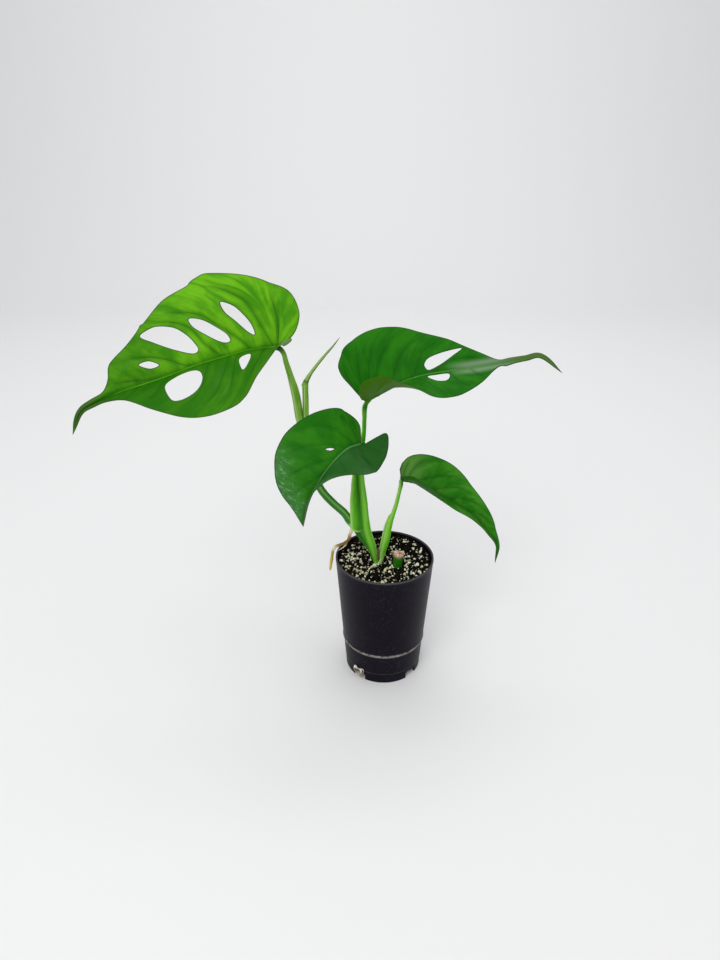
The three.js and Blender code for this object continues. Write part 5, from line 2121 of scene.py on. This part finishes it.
@dataclass
class Fibres:
    """Papery brown strips left from an old sheath, between the two front petioles."""

    count: int = 6
    seed: int = 3
    finish: Crumbly = Crumbly("dry_sheath_paper", (0.05, 0.026, 0.015), (0.3, 0.21, 0.15), 350, 0.8)

    def draft(self) -> Draft:
        """Thin flat tubes that rise from the stem's foot, lean apart and fray to points.

        Returns:
            Their draft.
        """
        random = np.random.default_rng(self.seed)
        strips = []
        for f in np.arange(self.count) / (self.count - 1):
            foot = np.array([-5.4 + 2.6 * f, -1.8 - 0.8 * random.random(), 113.5])
            tip = np.array([-8.9 + 7.9 * f, -3.4 + 0.8 * f, 126 + 9 * random.random()])
            middle = (foot + tip) / 2 + random.normal(0, 0.7, 3)
            strip = Stalk(
                "strip", [foot, middle, tip], [[0, 0.8], [0.6, 0.7], [1, 0.12]], None, Slot.FIBRE,
                groove_to=(0, -1, 0), groove=0.75, rough=0.25, step=0.7, around=14,
            )
            strips.append(strip.draft())
        return reduce(Draft.joined, strips)

    def build(self) -> Object:
        """Makes the strips' piece."""
        mesh = self.draft().mesh("sheath_strips")
        return place_piece("sheath_strips", mesh, self.finish.material(), ("sheath_fibre",))


@dataclass(frozen=True)
class SoftLamp:
    """A square soft lamp, in metres and watts, that looks at a place."""

    name: str
    at: Place
    size: float
    power: float
    tint: Colour = (1.0, 1.0, 1.0)
    aim: Place = (-0.05, 0, 0.2)

    def build(self) -> None:
        """Hangs the lamp."""
        data = bpy.data.lights.new(self.name, "AREA")
        data.size, data.energy, data.color = self.size, self.power, self.tint
        lamp = linked(self.name, data)
        lamp.location = self.at
        lamp.rotation_euler = (Vector(self.aim) - Vector(self.at)).to_track_quat("-Z", "Y").to_euler()


@dataclass
class Studio:
    """Pale floor swept up behind the plant, soft lamps and the camera at the photograph's angle.

    Its lengths are in metres. The focal length and the long side are in the photograph's pixels.
    """

    camera_at: Place = (-0.0226, -0.518, 0.454)
    pitch: float = 26.35
    focal: float = 666.0
    long_side: int = 960
    sensor: float = 36.0
    floor_front: float = -3.0
    floor_half_width: float = 4.0
    bend_start: float = 1.6
    bend_radius: float = 1.2
    floor_height: float = 4.0
    floor_grey: float = 0.76
    sky: Colour = (0.97, 0.98, 1.0)
    sky_strength: float = 0.66
    lamps: tuple[SoftLamp, ...] = (
        SoftLamp("key_softbox", (-0.5, -1.3, 1.5), 1.1, 17, tint=(1.0, 0.99, 0.98)),
        SoftLamp("top_softbox", (0.3, -0.1, 1.6), 1.0, 3),
        SoftLamp("backdrop_softbox", (0, 0.9, 2.2), 1.4, 18, aim=(0, 2.4, 0.5)),
    )

    def floor(self) -> None:
        """A sheet along X whose section runs flat, then up a wide quarter round, then straight."""
        bend = np.linspace(0, np.pi / 2, 24)
        back, lift = self.bend_radius * np.sin(bend), self.bend_radius * (1 - np.cos(bend))
        y = np.concatenate([[self.floor_front], self.bend_start + back, [self.bend_start + self.bend_radius]])
        z = np.concatenate([[0.0], lift, [self.floor_height]])
        x = np.array([-self.floor_half_width, self.floor_half_width])
        grid = np.stack(np.broadcast_arrays(x[None], y[:, None], z[:, None]), -1) / MM
        index = np.arange(grid[..., 0].size).reshape(grid.shape[:2])
        quads = np.stack([index[:-1, :-1], index[:-1, 1:], index[1:, 1:], index[1:, :-1]], -1).reshape(-1, 4)
        mesh = Draft(grid.reshape(-1, 3), quads).mesh("studio_floor")
        shader = Shader("pale_floor")
        shader.set(Base_Color=(self.floor_grey,) * 3, Roughness=0.8)
        mesh.materials.append(shader.material)
        linked("studio_floor", mesh)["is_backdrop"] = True

    def camera(self) -> None:
        """The camera, looking along +Y and down."""
        data = bpy.data.cameras.new("camera")
        data.sensor_fit = "AUTO"
        data.sensor_width = self.sensor
        data.lens = self.focal * self.sensor / self.long_side
        data.clip_start, data.clip_end = 0.01, 50
        camera = linked("camera", data)
        camera.location = self.camera_at
        camera.rotation_euler = (math.radians(90 - self.pitch), 0, 0)
        bpy.context.scene.camera = camera

    def build(self) -> None:
        """Sets the camera, the floor, the lamps and the sky."""
        self.camera()
        self.floor()
        for lamp in self.lamps:
            lamp.build()
        world = bpy.data.worlds.new("soft_sky")
        world.use_nodes = True
        sky = world.node_tree.nodes["Background"]
        sky.inputs["Color"].default_value = (*self.sky, 1)
        sky.inputs["Strength"].default_value = self.sky_strength
        bpy.context.scene.world = world
        bpy.context.scene.view_settings.view_transform = "Standard"


def corners() -> list[list[float]]:
    """Lowest and highest corner of what is shown, as plain lists."""
    return [list(corner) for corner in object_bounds()]


def main() -> None:
    """Builds the studio and every piece of the plant."""
    logging.basicConfig(level=logging.INFO, format="%(name)s: %(message)s")
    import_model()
    Studio().build()
    Pot().build()
    Soil().build()
    for stalk in STALKS:
        stalk.build()
    StumpTop().build()
    Fibres().build()
    for blade in (LEAF_A, LEAF_B, LEAF_C, LEAF_D):
        blade.build()


if __name__ == "__main__":
    main()
